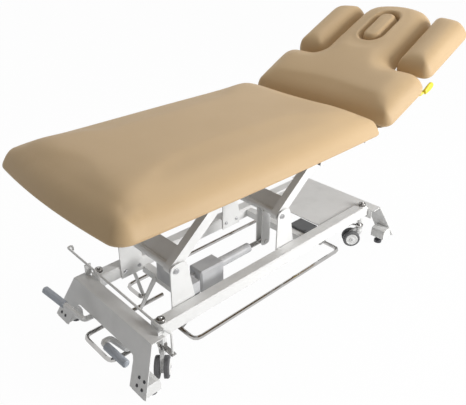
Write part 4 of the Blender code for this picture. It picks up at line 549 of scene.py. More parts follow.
def rounded(corners: Sequence[Corner], step: float) -> np.ndarray:
    """Round the corners of an outline and space its points evenly.

    Args:
        corners: the corners, anticlockwise seen from above the seat.
        step: distance between points in metres.

    Returns:
        The outline's points, one row of two numbers each.
    """
    points: list[Vector] = []
    size = len(corners)
    for k, corner in enumerate(corners):
        at = Vector((corner.along, corner.across))
        before = Vector((corners[k - 1].along, corners[k - 1].across)) - at
        after = Vector((corners[(k + 1) % size].along, corners[(k + 1) % size].across)) - at
        before.normalize()
        after.normalize()
        half = before.angle(after) / 2.0
        reach = corner.radius / math.tan(half)
        middle = at + (before + after).normalized() * (corner.radius / math.sin(half))
        first, last = at + before * reach - middle, at + after * reach - middle
        sweep = math.pi - 2.0 * half
        count = max(ARC_POINTS, math.ceil(sweep * corner.radius / step))
        for n in range(count + 1):
            share = n / count
            spoke = first * math.sin((1.0 - share) * sweep) + last * math.sin(share * sweep)
            points.append(middle + spoke / math.sin(sweep))
    dense: list[Vector] = []
    for here, onward in zip(points, points[1:] + points[:1]):
        length = (onward - here).length
        if length < step * SHORT_SHARE:
            continue
        count = max(1, round(length / step))
        dense += [here.lerp(onward, n / count) for n in range(count)]
    return rows(dense)


def inward(loop: np.ndarray) -> np.ndarray:
    """Unit normals that point into an anticlockwise outline."""
    along = np.roll(loop, -1, axis=0) - np.roll(loop, 1, axis=0)
    along /= np.linalg.norm(along, axis=1)[:, None]
    return np.stack((-along[:, 1], along[:, 0]), axis=1)


def edge_distance(points: np.ndarray, loop: np.ndarray) -> np.ndarray:
    """Distance of each point to the nearest stretch of an outline.

    Args:
        points: the points.
        loop: the outline.

    Returns:
        One distance for each point.
    """
    best = np.full(len(points), np.inf)
    for here, onward in zip(loop, np.roll(loop, -1, axis=0)):
        span = onward - here
        share = np.clip(((points - here) @ span) / max(span @ span, NO_LENGTH), 0.0, 1.0)
        gap = np.linalg.norm(points - here - share[:, None] * span, axis=1)
        best = np.minimum(best, gap)
    return best


def inside(points: np.ndarray, loop: np.ndarray) -> np.ndarray:
    """Whether each point lies within an outline."""
    result = np.zeros(len(points), dtype=bool)
    for (ax, ay), (bx, by) in zip(loop, np.roll(loop, -1, axis=0)):
        if ay == by:
            continue
        between = (points[:, 1] < ay) != (points[:, 1] < by)
        crossing = ax + (points[:, 1] - ay) * (bx - ax) / (by - ay)
        result ^= between & (points[:, 0] < crossing)
    return result


def triangles(points: np.ndarray, loop: np.ndarray,
              holes: Sequence[np.ndarray]) -> list[tuple[int, int, int]]:
    """Triangulate points within an outline and outside its holes.

    Args:
        points: all points, the outlines' own among them.
        loop: the outer outline.
        holes: outlines of holes.

    Returns:
        Triangles as point numbers, anticlockwise.
    """
    plan = [Vector(tuple(point)) for point in points]
    found = delaunay_2d_cdt(plan, [], [], 0, SAME_PLACE)
    places = rows(found[0])
    source = [origin[0] for origin in found[3]]
    faces = np.array([face for face in found[2] if len(face) == 3])
    middles = places[faces].mean(axis=1)
    keep = inside(middles, loop)
    for hole in holes:
        keep &= ~inside(middles, hole)
    result = []
    for a, b, c in faces[keep]:
        first, second = places[b] - places[a], places[c] - places[a]
        turn = first[0] * second[1] - first[1] * second[0]
        row = (source[a], source[b], source[c])
        result.append(row if turn > 0.0 else (row[0], row[2], row[1]))
    return result


# Distances of the cover's rings from its outline, and of the tucked rings with their
# heights as shares of the edge. Lengths are in metres.
TOP_RINGS: tuple[float, ...] = (0.0, 0.0007, 0.0024, 0.0050, 0.0086, 0.0130, 0.0180,
                                0.0236)
TUCK_RINGS: tuple[tuple[float, float], ...] = (
    (0.0006, 0.74), (0.0022, 0.46), (0.0048, 0.22), (0.0085, 0.06), (0.0130, 0.0),
)
RING_CLEARANCE = 0.004
OUTLINE_STEP = 0.75
HOLE_STEP = 0.5
# Form of the dome, its fall towards a hole, and where its heights are evened out.
DOME_POWER = 2.4
HOLE_POWER = 2.6
HOLE_ROLL = 0.020
CROWN_REACH = 0.22
EVEN_FROM = 0.022
EVEN_OVER = 0.045
END_BAND = 0.93
# The cloth simulation, and the heights in edges between which its move sets in.
CLOTH_FRAMES = 20
CLOTH_QUALITY = 4
CLOTH_PRESSURE = 4.0
MOVE_ROUNDS = 24
MOVE_FROM = 0.3
MOVE_OVER = 2.0


@dataclass
class Cushion:
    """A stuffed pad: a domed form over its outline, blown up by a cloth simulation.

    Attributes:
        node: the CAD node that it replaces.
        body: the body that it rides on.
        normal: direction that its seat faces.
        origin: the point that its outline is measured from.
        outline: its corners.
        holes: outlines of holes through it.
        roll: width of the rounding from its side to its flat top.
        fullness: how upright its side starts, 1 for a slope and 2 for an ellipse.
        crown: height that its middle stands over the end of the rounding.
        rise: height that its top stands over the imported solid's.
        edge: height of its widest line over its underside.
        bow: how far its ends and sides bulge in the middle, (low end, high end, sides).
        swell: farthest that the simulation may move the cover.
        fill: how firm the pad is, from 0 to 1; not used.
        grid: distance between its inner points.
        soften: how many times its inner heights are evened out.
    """

    node: str
    body: str
    normal: Vector
    origin: Vector
    outline: Sequence[Corner]
    holes: Sequence[Sequence[Corner]] = ()
    roll: float = 0.070
    fullness: float = 1.45
    crown: float = 0.004
    rise: float = 0.0
    edge: float = 0.011
    bow: tuple[float, float, float] = (0.0, 0.0, 0.0)
    swell: float = 0.004
    fill: float = 0.75
    grid: float = 0.008
    soften: int = 24

    def build(self) -> bpy.types.Object:
        """Make the pad and return it."""
        shape = merged(self.node)
        heights = [(vert.co - self.origin).dot(self.normal) for vert in shape.verts]
        shape.free()
        base, top = min(heights), max(heights) + self.rise
        pad = self.shell(base, top - base)
        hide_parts(self.node)
        self.inflate(pad, base)
        LOG.info("%s: %d faces", pad.name, len(pad.data.polygons))
        return pad

    def bulged(self, loop: np.ndarray) -> np.ndarray:
        """Bulge an outline's ends and sides."""
        low, high = loop.min(axis=0), loop.max(axis=0)
        along = (loop[:, 0] - low[0]) / (high[0] - low[0])
        result = loop.copy()
        for amount, near_end, sign in ((self.bow[0], 1.0 - along, -1.0),
                                       (self.bow[1], along, 1.0)):
            end = loop[near_end > END_BAND]
            middle = (end[:, 1].max() + end[:, 1].min()) / 2.0
            half = (end[:, 1].max() - end[:, 1].min()) / 2.0
            arch = np.clip(1.0 - ((loop[:, 1] - middle) / half) ** 2, 0.0, 1.0)
            result[:, 0] += sign * amount * arch * np.clip(near_end * 4.0 - 3.0, 0.0, 1.0)
        across = 2.0 * (loop[:, 1] - low[1]) / (high[1] - low[1]) - 1.0
        result[:, 1] += self.bow[2] * across * (4.0 * along * (1.0 - along))
        return result

    def shell(self, base: float, depth: float) -> bpy.types.Object:
        """Build the domed form.

        Args:
            base: height of its underside over the origin.
            depth: its thickness.

        Returns:
            The pad as an object that rides on its body.
        """
        outer = self.bulged(rounded(self.outline, self.grid * OUTLINE_STEP))
        holes = [rounded(hole, self.grid * HOLE_STEP) for hole in self.holes]
        loops = [outer] + holes
        facing = [inward(outer)] + [-inward(hole) for hole in holes]
        rings = [loop + normal * step for step in TOP_RINGS
                 for loop, normal in zip(loops, facing)]
        points = np.concatenate(rings + [self.lattice(outer, holes)])
        high_at = self.heights(points, outer, holes, depth)
        faces = triangles(points, outer, holes)
        blend = np.clip((edge_distance(points, outer) - EVEN_FROM) / EVEN_OVER, 0.0, 1.0)
        for hole in holes:
            blend *= np.clip((edge_distance(points, hole) - EVEN_FROM) / HOLE_ROLL, 0.0, 1.0)
        high_at += (self.evened(high_at, faces) - high_at) * blend
        shape = bmesh.new()
        across = self.normal.cross(Vector((1.0, 0.0, 0.0))).normalized()
        if across.y < 0.0:
            across = -across
        along = across.cross(self.normal).normalized()

        def place(point: np.ndarray, height: float) -> bmesh.types.BMVert:
            """Add one point of the pad."""
            return shape.verts.new(self.origin + along * float(point[0])
                                   + across * float(point[1])
                                   + self.normal * (base + float(height)))

        verts = [place(point, height) for point, height in zip(points, high_at)]
        for face in faces:
            shape.faces.new([verts[k] for k in face])
        self.close_under(shape, place, verts, loops, facing)
        bmesh.ops.recalc_face_normals(shape, faces=shape.faces)
        return from_bmesh(f"pad_{self.node}", shape, COVER, self.body, Slot.COVER, angle=80.0)

    def lattice(self, outer: np.ndarray, holes: Sequence[np.ndarray]) -> np.ndarray:
        """Inner points in a triangle grid, clear of the rings along the outlines."""
        low, high = outer.min(axis=0), outer.max(axis=0)
        pitch = self.grid * math.sqrt(3.0) / 2.0
        spots = []
        for n, y in enumerate(np.arange(low[1], high[1], pitch)):
            shift = (n % 2) * self.grid / 2.0
            spots += [(x + shift, y) for x in np.arange(low[0], high[0], self.grid)]
        cloud = np.array(spots)
        margin = TOP_RINGS[-1] + RING_CLEARANCE
        clear = inside(cloud, outer) & (edge_distance(cloud, outer) > margin)
        for hole in holes:
            clear &= ~inside(cloud, hole) & (edge_distance(cloud, hole) > margin)
        return cloud[clear]

    def evened(self, heights: np.ndarray,
               faces: Sequence[tuple[int, int, int]]) -> np.ndarray:
        """Even out the heights of the cover.

        Args:
            heights: one height for each point.
            faces: triangles of the cover.

        Returns:
            The new heights.
        """
        corners = np.array(faces)
        pairs = np.concatenate((corners[:, :2], corners[:, 1:], corners[:, ::2]))
        return averaged(heights, np.unique(np.sort(pairs, axis=1), axis=0), self.soften)

    def heights(self, points: np.ndarray, outer: np.ndarray, holes: Sequence[np.ndarray],
                depth: float) -> np.ndarray:
        """Height of the cover over each point of its plan.

        Args:
            points: the points.
            outer: the outer outline.
            holes: outlines of holes.
            depth: the pad's thickness.

        Returns:
            Heights over the underside.
        """
        gap = edge_distance(points, outer)
        share = np.clip(gap / self.roll, 0.0, 1.0)
        dome = (1.0 - (1.0 - share) ** DOME_POWER) ** (1.0 / self.fullness)
        for hole in holes:
            near = np.clip(edge_distance(points, hole) / HOLE_ROLL, 0.0, 1.0)
            dome *= (1.0 - (1.0 - near) ** HOLE_POWER) ** 0.5
        far = np.clip(gap / CROWN_REACH, 0.0, 1.0)
        lift = self.crown * far * (2.0 - far)
        return self.edge + (depth - self.edge - self.crown) * dome + lift * dome

    def close_under(self, shape: bmesh.types.BMesh,
                    place: Callable[[np.ndarray, float], bmesh.types.BMVert],
                    verts: Sequence[bmesh.types.BMVert], loops: Sequence[np.ndarray],
                    facing: Sequence[np.ndarray]) -> None:
        """Turn the cover under and close it with a flat underside.

        Args:
            shape: the mesh.
            place: adds a point at a height.
            verts: the cover's points, its outlines first.
            loops: the outlines.
            facing: normals that point into the pad.
        """
        start = 0
        last_rings: list[Ring] = []
        last_places: list[np.ndarray] = []
        for loop, normal in zip(loops, facing):
            size = len(loop)
            ring = list(verts[start:start + size])
            start += size
            for step, share in TUCK_RINGS:
                lower = [place(point, share * self.edge) for point in loop + normal * step]
                for k in range(size):
                    nxt = (k + 1) % size
                    shape.faces.new((ring[k], lower[k], lower[nxt], ring[nxt]))
                ring = lower
            last_rings.append(ring)
            last_places.append(loop + normal * TUCK_RINGS[-1][0])
        flat = [vert for ring in last_rings for vert in ring]
        for a, b, c in triangles(np.concatenate(last_places), last_places[0],
                                 last_places[1:]):
            shape.faces.new((flat[a], flat[c], flat[b]))

    def inflate(self, pad: bpy.types.Object, base: float) -> None:
        """Blow the pad up with cloth pressure and keep an even share of the move.

        Args:
            pad: the pad, changed in place.
            base: height of its flat underside over the origin.
        """
        start = rows(vert.co for vert in pad.data.vertices)
        cloth = pad.modifiers.new("cloth", "CLOTH")
        cloth.settings.quality = CLOTH_QUALITY
        cloth.settings.use_pressure = True
        cloth.settings.uniform_pressure_force = CLOTH_PRESSURE
        cloth.settings.effector_weights.gravity = 0.0
        cloth.collision_settings.use_collision = False
        scene = bpy.context.scene
        for number in range(1, CLOTH_FRAMES + 1):
            scene.frame_set(number)
        applied(pad)
        scene.frame_set(1)
        move = averaged(rows(vert.co for vert in pad.data.vertices) - start,
                        rows(edge.vertices for edge in pad.data.edges), MOVE_ROUNDS)
        length = np.linalg.norm(move, axis=1)[:, None]
        move *= np.minimum(1.0, self.swell / np.maximum(length, NO_LENGTH))
        normal = np.array(tuple(self.normal))
        height = (start - np.array(tuple(self.origin))) @ normal - base
        share = (height - MOVE_FROM * self.edge) / (MOVE_OVER * self.edge)
        move *= np.clip(share, 0.0, 1.0)[:, None]
        for vert, point in zip(pad.data.vertices, start + move):
            vert.co = Vector(tuple(point))
        pad.data.shade_smooth()
        dress(pad, COVER)


# Small fasteners by Geometry Nodes

def outline_point(angle: float, radius: float, corners: int) -> tuple[float, float]:
    """A point on a circle, or on a polygon whose flats lie at the radius.

    Args:
        angle: direction of the point.
        radius: the circle's radius, or the distance to the flats.
        corners: number of corners, 0 for a circle.

    Returns:
        The x and y of the point.
    """
    reach = radius
    if corners:
        part = math.tau / corners
        reach = radius / math.cos((angle % part) - part / 2.0)
    return reach * math.cos(angle), reach * math.sin(angle)


def head_mesh(name: str, kind: Head, radius: float, height: float) -> bpy.types.Object:
    """Model one screw head, its underside at the origin and its top up.

    Args:
        name: the object's name.
        kind: hexagon bolt head, or round head with a hexagon socket.
        radius: radius of the head, or half its width over flats.
        height: height of the head.

    Returns:
        The head as an object, used as the instance.
    """
    shape = bmesh.new()
    rings = []
    for reach, level, corners in WASHER + kind.value:
        points = [outline_point(math.tau * k / SCREW_STEPS, radius * reach, corners)
                  for k in range(SCREW_STEPS)]
        rings.append([shape.verts.new((x, y, height * level)) for x, y in points])
    loft(shape, rings)
    return meshed(name, shape, SCREW_SHARP)


def fastener_tree() -> bpy.types.GeometryNodeTree:
    """Build the tree that sets a head on each point, turned to its axis.

    Returns:
        The tree, with Geometry, Head, Finish, Seed and Size Spread inputs.
    """
    tree = bpy.data.node_groups.new("fasteners_on_points", "GeometryNodeTree")
    for label, kind in (("Geometry", "NodeSocketGeometry"), ("Head", "NodeSocketObject"),
                        ("Finish", "NodeSocketMaterial"), ("Seed", "NodeSocketInt"),
                        ("Size Spread", "NodeSocketFloat")):
        tree.interface.new_socket(label, in_out="INPUT", socket_type=kind)
    tree.interface.new_socket("Geometry", in_out="OUTPUT", socket_type="NodeSocketGeometry")
    entry = tree.nodes.new("NodeGroupInput")
    exit_node = tree.nodes.new("NodeGroupOutput")
    head = tree.nodes.new("GeometryNodeObjectInfo")
    axis = tree.nodes.new("GeometryNodeInputNamedAttribute")
    axis.data_type = "FLOAT_VECTOR"
    axis.inputs["Name"].default_value = "axis"
    turn = tree.nodes.new("FunctionNodeAlignRotationToVector")
    turn.axis = "Z"
    spin, size = (tree.nodes.new("FunctionNodeRandomValue") for _ in range(2))
    spin.data_type = size.data_type = "FLOAT"
    spin.inputs[2].default_value, spin.inputs[3].default_value = 0.0, math.tau
    size.inputs[2].default_value = 1.0
    local = tree.nodes.new("FunctionNodeAxisAngleToRotation")
    local.inputs["Axis"].default_value = (0.0, 0.0, 1.0)
    both = tree.nodes.new("FunctionNodeRotateRotation")
    both.rotation_space = "LOCAL"
    largest = maths(tree, "ADD", 1.0, entry.outputs["Size Spread"])
    place = tree.nodes.new("GeometryNodeInstanceOnPoints")
    real = tree.nodes.new("GeometryNodeRealizeInstances")
    paint = tree.nodes.new("GeometryNodeSetMaterial")
    tree.links.new(largest, size.inputs[3])
    for source, output, target, socket in (
            (entry, "Head", head, "Object"), (axis, "Attribute", turn, "Vector"),
            (entry, "Seed", spin, "Seed"), (spin, 1, local, "Angle"),
            (turn, "Rotation", both, "Rotation"), (local, "Rotation", both, "Rotate By"),
            (entry, "Seed", size, "Seed"), (entry, "Geometry", place, "Points"),
            (head, "Geometry", place, "Instance"), (both, "Rotation", place, "Rotation"),
            (size, 1, place, "Scale"), (place, "Instances", real, "Geometry"),
            (real, "Geometry", paint, "Geometry"), (entry, "Finish", paint, "Material"),
            (paint, "Geometry", exit_node, "Geometry")):
        tree.links.new(source.outputs[output], target.inputs[socket])
    return tree


@dataclass(frozen=True)
class ScrewSet:
    """Screws of one kind on one body.

    Attributes:
        name: the piece's name.
        body: the body that they ride on.
        kind: shape of their heads.
        radius: radius of a head.
        height: height of a head.
        spots: (foot, axis) of each.
        finish: their finish.
        slot: the record's slot; not used.
    """

    name: str
    body: str
    kind: Head
    radius: float
    height: float
    spots: tuple[tuple[Vector, Vector], ...]
    finish: Finish = ZINC
    slot: Slot = Slot.STEEL


@dataclass
class Fasteners:
    """All screw heads, laid by one geometry node tree.

    Attributes:
        sets: the groups of screws.
        seed: start of the tree's random turns.
        spread: how much larger than modelled a head may be, as a share.
    """

    sets: Sequence[ScrewSet]
    seed: int = 11
    spread: float = 0.02

    def build(self) -> None:
        """Lay every set and keep it as plain mesh."""
        tree = fastener_tree()
        keys = {item.name: item.identifier for item in tree.interface.items_tree
                if item.in_out == "INPUT"}
        for number, group in enumerate(self.sets):
            head = head_mesh(f"{group.name}_head", group.kind, group.radius, group.height)
            cloud = bpy.data.meshes.new(group.name)
            cloud.from_pydata([tuple(spot) for spot, _ in group.spots], [], [])
            axes = cloud.attributes.new("axis", "FLOAT_VECTOR", "POINT")
            for k, (_, axis) in enumerate(group.spots):
                axes.data[k].vector = axis.normalized()
            obj = placed(group.name, cloud)
            layer = obj.modifiers.new("fasteners", "NODES")
            layer.node_group = tree
            layer[keys["Head"]] = head
            layer[keys["Finish"]] = group.finish.material()
            layer[keys["Seed"]] = self.seed + number
            layer[keys["Size Spread"]] = self.spread
            applied(obj)
            bpy.data.objects.remove(head)
            obj.data.set_sharp_from_angle(angle=math.radians(SCREW_SHARP))
            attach(obj, group.body)
            LOG.info("%s: %d screws", group.name, len(group.spots))


# Places of the fasteners in the frame, in metres; legs are measured from the base's middle

BASE_MIDDLE = Vector((-0.10519, 0.0, 0.0))
LEG_RUN = 0.069
LEG_DROP = 0.153
LEG_TOP = (0.625, 0.183)
LEG_Y = 0.2365
LEG_SCREW_Z = 0.062
LEG_SCREW_REACH = 0.013
TOWER_BOLT_REACH = 0.030
TOWER_BOLT_RISE = 0.026


def leg_spots() -> Spots:
    """Four screws in a square on the outer, leaning face of every leg."""
    lean = math.atan2(LEG_RUN, LEG_DROP)
    spots: list[tuple[Vector, Vector]] = []
    for side in (-1.0, 1.0):
        normal = Vector((side * math.cos(lean), 0.0, math.sin(lean)))
        for hand in (-1.0, 1.0):
            for row in (-LEG_SCREW_REACH, LEG_SCREW_REACH):
                for column in (-LEG_SCREW_REACH, LEG_SCREW_REACH):
                    z = LEG_SCREW_Z + row
                    x = side * (LEG_TOP[0] + LEG_RUN * (LEG_TOP[1] - z) / LEG_DROP)
                    foot = Vector((x, hand * LEG_Y + column, z))
                    spots.append((foot + BASE_MIDDLE, normal))
    return tuple(spots)


def axle_spots(nodes: Iterable[str]) -> Spots:
    """A nut on both ends of each axle.

    Args:
        nodes: names of the axles' nodes.

    Returns:
        The nuts' feet and axes.
    """
    spots: list[tuple[Vector, Vector]] = []
    for node in nodes:
        low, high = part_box(node)
        middle = (low + high) / 2.0
        spots.append((Vector((middle.x, low.y, middle.z)), NEAR))
        spots.append((Vector((middle.x, high.y, middle.z)), FAR))
    return tuple(spots)


def tower_spots() -> Spots:
    """Two bolts through the foot of each tower, their heads inwards."""
    spots: list[tuple[Vector, Vector]] = []
    for end in ("foot", "head"):
        for side, axis in (("near", FAR), ("far", NEAR)):
            low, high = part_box(f"{end}_tower_{side}")
            y = high.y if side == "near" else low.y
            for shift in (-TOWER_BOLT_REACH, TOWER_BOLT_REACH):
                x = (low.x + high.x) / 2.0 + shift
                spots.append((Vector((x, y, low.z + TOWER_BOLT_RISE)), axis))
    return tuple(spots)


def corner_spots(node: str, inset: float) -> Spots:
    """A screw near each corner of a node's flat top.

    Args:
        node: the node's name.
        inset: distance of the screws from its sides.

    Returns:
        The screws' feet and axes.
    """
    low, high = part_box(node)
    return tuple(
        (Vector((x, y, high.z)), UP)
        for x in (low.x + inset, high.x - inset) for y in (low.y + inset, high.y - inset)
    )


def screw_sets() -> list[ScrewSet]:
    """All groups of screws on the table."""
    return [
        ScrewSet("leg_screws", "base", Head.ROUND, 0.0046, 0.0026, leg_spots(), DARK,
                 Slot.DARK),
        ScrewSet("lower_axle_screws", "base", Head.ROUND, 0.0056, 0.0030,
                 axle_spots(("lower_axle_foot", "lower_axle_head"))),
        ScrewSet("upper_axle_screws", "top", Head.ROUND, 0.0056, 0.0030,
                 axle_spots(("upper_axle_foot", "upper_axle_head"))),
        ScrewSet("hinge_pin_caps", "top", Head.ROUND, 0.0048, 0.0030,
                 (axle_spots(("head_hinge_pin_near",))[:1]
                  + axle_spots(("head_hinge_pin_far",))[1:])),
        ScrewSet("tower_bolts", "base", Head.HEX, 0.0060, 0.0050, tower_spots()),
        ScrewSet("box_screws", "base", Head.ROUND, 0.0026, 0.0018,
                 corner_spots("control_box", 0.009), DARK, Slot.DARK),
    ]


# Castors

Profile = tuple[tuple[float, float], ...]
DISC_PROFILE: Profile = (
    (0.0, 0.0), (0.0262, 0.0), (0.0266, 0.0008), (0.0252, 0.0016), (0.0220, 0.0019),
    (0.0205, 0.0009), (0.0120, 0.0012), (0.0105, 0.0026), (0.0095, 0.0029), (0.0, 0.0029),
)
PIN_PROFILE: Profile = (
    (0.0, 0.0), (0.0046, 0.0), (0.0046, 0.0010), (0.0036, 0.0016), (0.0, 0.0018),
)
PIN_LIFT = 0.0030
DISC_STEPS = 40
PIN_STEPS = 20
NUT_STEPS = 12
NUT_PROFILE: Profile = (
    (0.0, -0.0001), (0.0128, -0.0098), (0.0146, -0.0098), (0.0150, -0.0086),
    (0.0150, 0.0002), (0.0140, 0.0016), (0.0070, 0.0020), (0.0, 0.0020),
)
STUD_PROFILE: Profile = (
    (0.0, 0.0018), (0.0058, 0.0018), (0.0058, 0.0070), (0.0048, 0.0084), (0.0, 0.0086),
)


@dataclass(frozen=True)
class CastorDress:
    """The trim of a twin castor: its hubs, and the nut and stud on its stem.

    Attributes:
        name: which castor it is.
        reach: distance of the wheels' outer faces from their middle.
    """

    name: str
    reach: float = 0.0242

    def build(self) -> None:
        """Make the castor's trim."""
        self.add_hubs()
        self.add_stem_top()

    def add_hubs(self) -> None:
        """Add white hub discs and pin ends on both outer sides."""
        joint = JOINTS[f"castor_roll_{self.name}"]
        middle = Vector(joint["pos_m"])
        axis = Vector(joint["axis"]).normalized()
        discs, pins = bmesh.new(), bmesh.new()
        for side in (-1.0, 1.0):
            out = axis * side
            foot = middle + out * self.reach
            lathe(discs, DISC_PROFILE, foot, out, DISC_STEPS)
            lathe(pins, PIN_PROFILE, foot + out * PIN_LIFT, out, PIN_STEPS)
        body = f"wheels_{self.name}"
        from_bmesh(f"hub_discs_{self.name}", discs, DISC, body, Slot.WHEEL)
        from_bmesh(f"hub_pins_{self.name}", pins, ZINC, body, Slot.STEEL)

    def add_stem_top(self) -> None:
        """Add a dark grip nut and a plated stud on top of the stem."""
        foot = Vector(JOINTS[f"castor_swivel_{self.name}"]["pos_m"])
        foot.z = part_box(f"castor_stem_{self.name}")[1].z
        nut, stud = bmesh.new(), bmesh.new()
        lathe(nut, NUT_PROFILE, foot, UP, NUT_STEPS)
        lathe(stud, STUD_PROFILE, foot, UP, PIN_STEPS)
        body = f"stem_{self.name}"
        from_bmesh(f"stem_nut_{self.name}", nut, KNOB, body, Slot.STEEL, angle=25.0)
        from_bmesh(f"stem_stud_{self.name}", stud, CHROME, body, Slot.STEEL)


# Release lever

PADDLE_STATIONS = ((0.0, 0.44), (0.02, 0.56), (0.10, 0.66), (0.30, 0.84), (0.55, 1.0),
                   (0.78, 0.98), (0.92, 0.80), (0.98, 0.52), (1.0, 0.28))
PADDLE_STEPS = 24
PADDLE_SQUARENESS = 2.6
PADDLE_LEAST_HEIGHT = 0.42
PADDLE_BACK = 0.050
PADDLE_AHEAD = 0.006
GRIP_END = 0.009


@dataclass(frozen=True)
class LeverPaddle:
    """The moulded paddle over the end of the head section's release lever.

    Attributes:
        start: the middle of its inner end.
        end: the middle of its outer end.
        width: its width across, in metres.
        thickness: its thickness.
    """

    start: Vector
    end: Vector
    width: float = 0.031
    thickness: float = 0.0150

    def build(self) -> bpy.types.Object:
        """Loft the paddle along its axis and return it."""
        axis = (self.end - self.start).normalized()
        wide = (HEAD_SEAT - axis * HEAD_SEAT.dot(axis)).normalized()
        flat = axis.cross(wide)
        length = (self.end - self.start).length
        power = PADDLE_SQUARENESS
        shape = bmesh.new()
        rings = []
        for share, size in PADDLE_STATIONS:
            middle = self.start + axis * (length * share)
            height = self.thickness / 2.0 * min(1.0, size + PADDLE_LEAST_HEIGHT)
            ring = []
            for k in range(PADDLE_STEPS):
                angle = math.tau * k / PADDLE_STEPS
                x, y = math.cos(angle), math.sin(angle)
                reach = (abs(x) ** power + abs(y) ** power) ** (-1.0 / power)
                spot = middle + wide * (x * reach * size * self.width / 2.0)
                ring.append(shape.verts.new(spot + flat * (y * reach * height)))
            rings.append(ring)
        loft(shape, rings)
        bmesh.ops.recalc_face_normals(shape, faces=shape.faces)
        paddle = from_bmesh("lever_paddle", shape, YELLOW, "lever", Slot.YELLOW, angle=60.0)
        LOG.info("%s: %d faces", paddle.name, len(paddle.data.polygons))
        return paddle


# Studio

SENSOR_WIDTH = 36.0
NEAR_CLIP = 0.05
FLOOR_REACH = 20.0
FLOOR_Z = -0.0005
FLOOR_COLOUR = (0.86, 0.86, 0.86, 1.0)
FLOOR_WHITENESS = 0.975


@dataclass(frozen=True)
class Lamp:
    """A soft area lamp.

    Attributes:
        name: its name.
        at: where it hangs.
        aim: the point that it faces.
        size: its width in metres.
        power: its power in watts.
    """

    name: str
    at: Vector
    aim: Vector
    size: float
    power: float

    def build(self) -> bpy.types.Object:
        """Hang the lamp and return it."""
        data = bpy.data.lights.new(self.name, "AREA")
        data.shape = "DISK"
        data.size = self.size
        data.energy = self.power
        obj = placed(self.name, data)
        obj.location = self.at
        obj.rotation_euler = (self.aim - self.at).to_track_quat("-Z", "Y").to_euler()
        return obj


def seen_directly(tree: bpy.types.NodeTree,
                  path: bpy.types.Node) -> bpy.types.NodeSocket:
    """1 for a ray from the camera or a mirror and 0 for any other."""
    return maths(tree, "MAXIMUM", path.outputs["Is Camera Ray"], path.outputs["Is Glossy Ray"])


@dataclass(frozen=True)
class Studio:
    """Camera, floor, world and lamps.

    Attributes:
        eye: the camera's place.
        turn: its heading in degrees.
        tilt: how far it looks down, in degrees.
        lens: its focal length in millimetres on a 36 mm sensor.
        shift: how far its picture is shifted, in widths.
        lamps: the lamps.
        ambient: level of the world's light.
    """

    eye: Vector
    turn: float
    tilt: float
    lens: float
    shift: tuple[float, float]
    lamps: Sequence[Lamp]
    ambient: float

    def build(self) -> None:
        """Set up everything around the table."""
        bpy.context.scene.view_settings.view_transform = "Standard"
        self.add_camera()
        self.add_floor()
        self.add_world()
        for lamp in self.lamps:
            lamp.build()

    def add_camera(self) -> None:
        """Place the camera at the photograph's viewing angle."""
        data = bpy.data.cameras.new("camera")
        data.lens = self.lens
        data.sensor_width = SENSOR_WIDTH
        data.shift_x, data.shift_y = self.shift
        data.clip_start = NEAR_CLIP
        data.dof.use_dof = False
        camera = placed("camera", data)
        turn, tilt = math.radians(self.turn), math.radians(self.tilt)
        level = math.cos(tilt)
        right = Vector((math.cos(turn), math.sin(turn), 0.0))
        back = Vector((math.sin(turn) * level, -math.cos(turn) * level, math.sin(tilt)))
        matrix = Matrix((right, back.cross(right), back)).transposed().to_4x4()
        matrix.translation = self.eye
        camera.matrix_world = matrix
        bpy.context.scene.camera = camera

    def add_floor(self) -> None:
        """Lay a pale floor that looks white but keeps the table's shadow."""
        shape = bmesh.new()
        bmesh.ops.create_grid(shape, x_segments=1, y_segments=1, size=FLOOR_REACH)
        mesh = bpy.data.meshes.new("studio_floor")
        shape.to_mesh(mesh)
        shape.free()
        floor = placed("studio_floor", mesh)
        floor.location.z = FLOOR_Z
        mat = bpy.data.materials.new("studio_floor")
        mat.use_nodes = True
        tree = mat.node_tree
        tree.nodes.clear()
        out = tree.nodes.new("ShaderNodeOutputMaterial")
        plain = tree.nodes.new("ShaderNodeBsdfDiffuse")
        plain.inputs["Color"].default_value = FLOOR_COLOUR
        glow = tree.nodes.new("ShaderNodeEmission")
        glow.inputs["Strength"].default_value = 1.0
        seen = seen_directly(tree, tree.nodes.new("ShaderNodeLightPath"))
        mix = tree.nodes.new("ShaderNodeMixShader")
        tree.links.new(maths(tree, "MULTIPLY", seen, FLOOR_WHITENESS), mix.inputs[0])
        tree.links.new(plain.outputs[0], mix.inputs[1])
        tree.links.new(glow.outputs[0], mix.inputs[2])
        tree.links.new(mix.outputs[0], out.inputs["Surface"])
        mesh.materials.append(mat)

    def add_world(self) -> None:
        """White where it is seen, mirrored or looked through, and a plain level elsewhere."""
        world = bpy.data.worlds.new("studio")
        bpy.context.scene.world = world
        world.use_nodes = True
        tree = world.node_tree
        tree.nodes.clear()
        out = tree.nodes.new("ShaderNodeOutputWorld")
        sky = tree.nodes.new("ShaderNodeBackground")
        sky.inputs["Color"].default_value = (1.0, 1.0, 1.0, 1.0)
        path = tree.nodes.new("ShaderNodeLightPath")
        seen = maths(tree, "MAXIMUM", seen_directly(tree, path),
                     path.outputs["Is Transmission Ray"])
        level = ranged(tree, seen, 0.0, 1.0, self.ambient, 1.0)
        tree.links.new(level, sky.inputs["Strength"])
        tree.links.new(sky.outputs[0], out.inputs["Surface"])


# The table

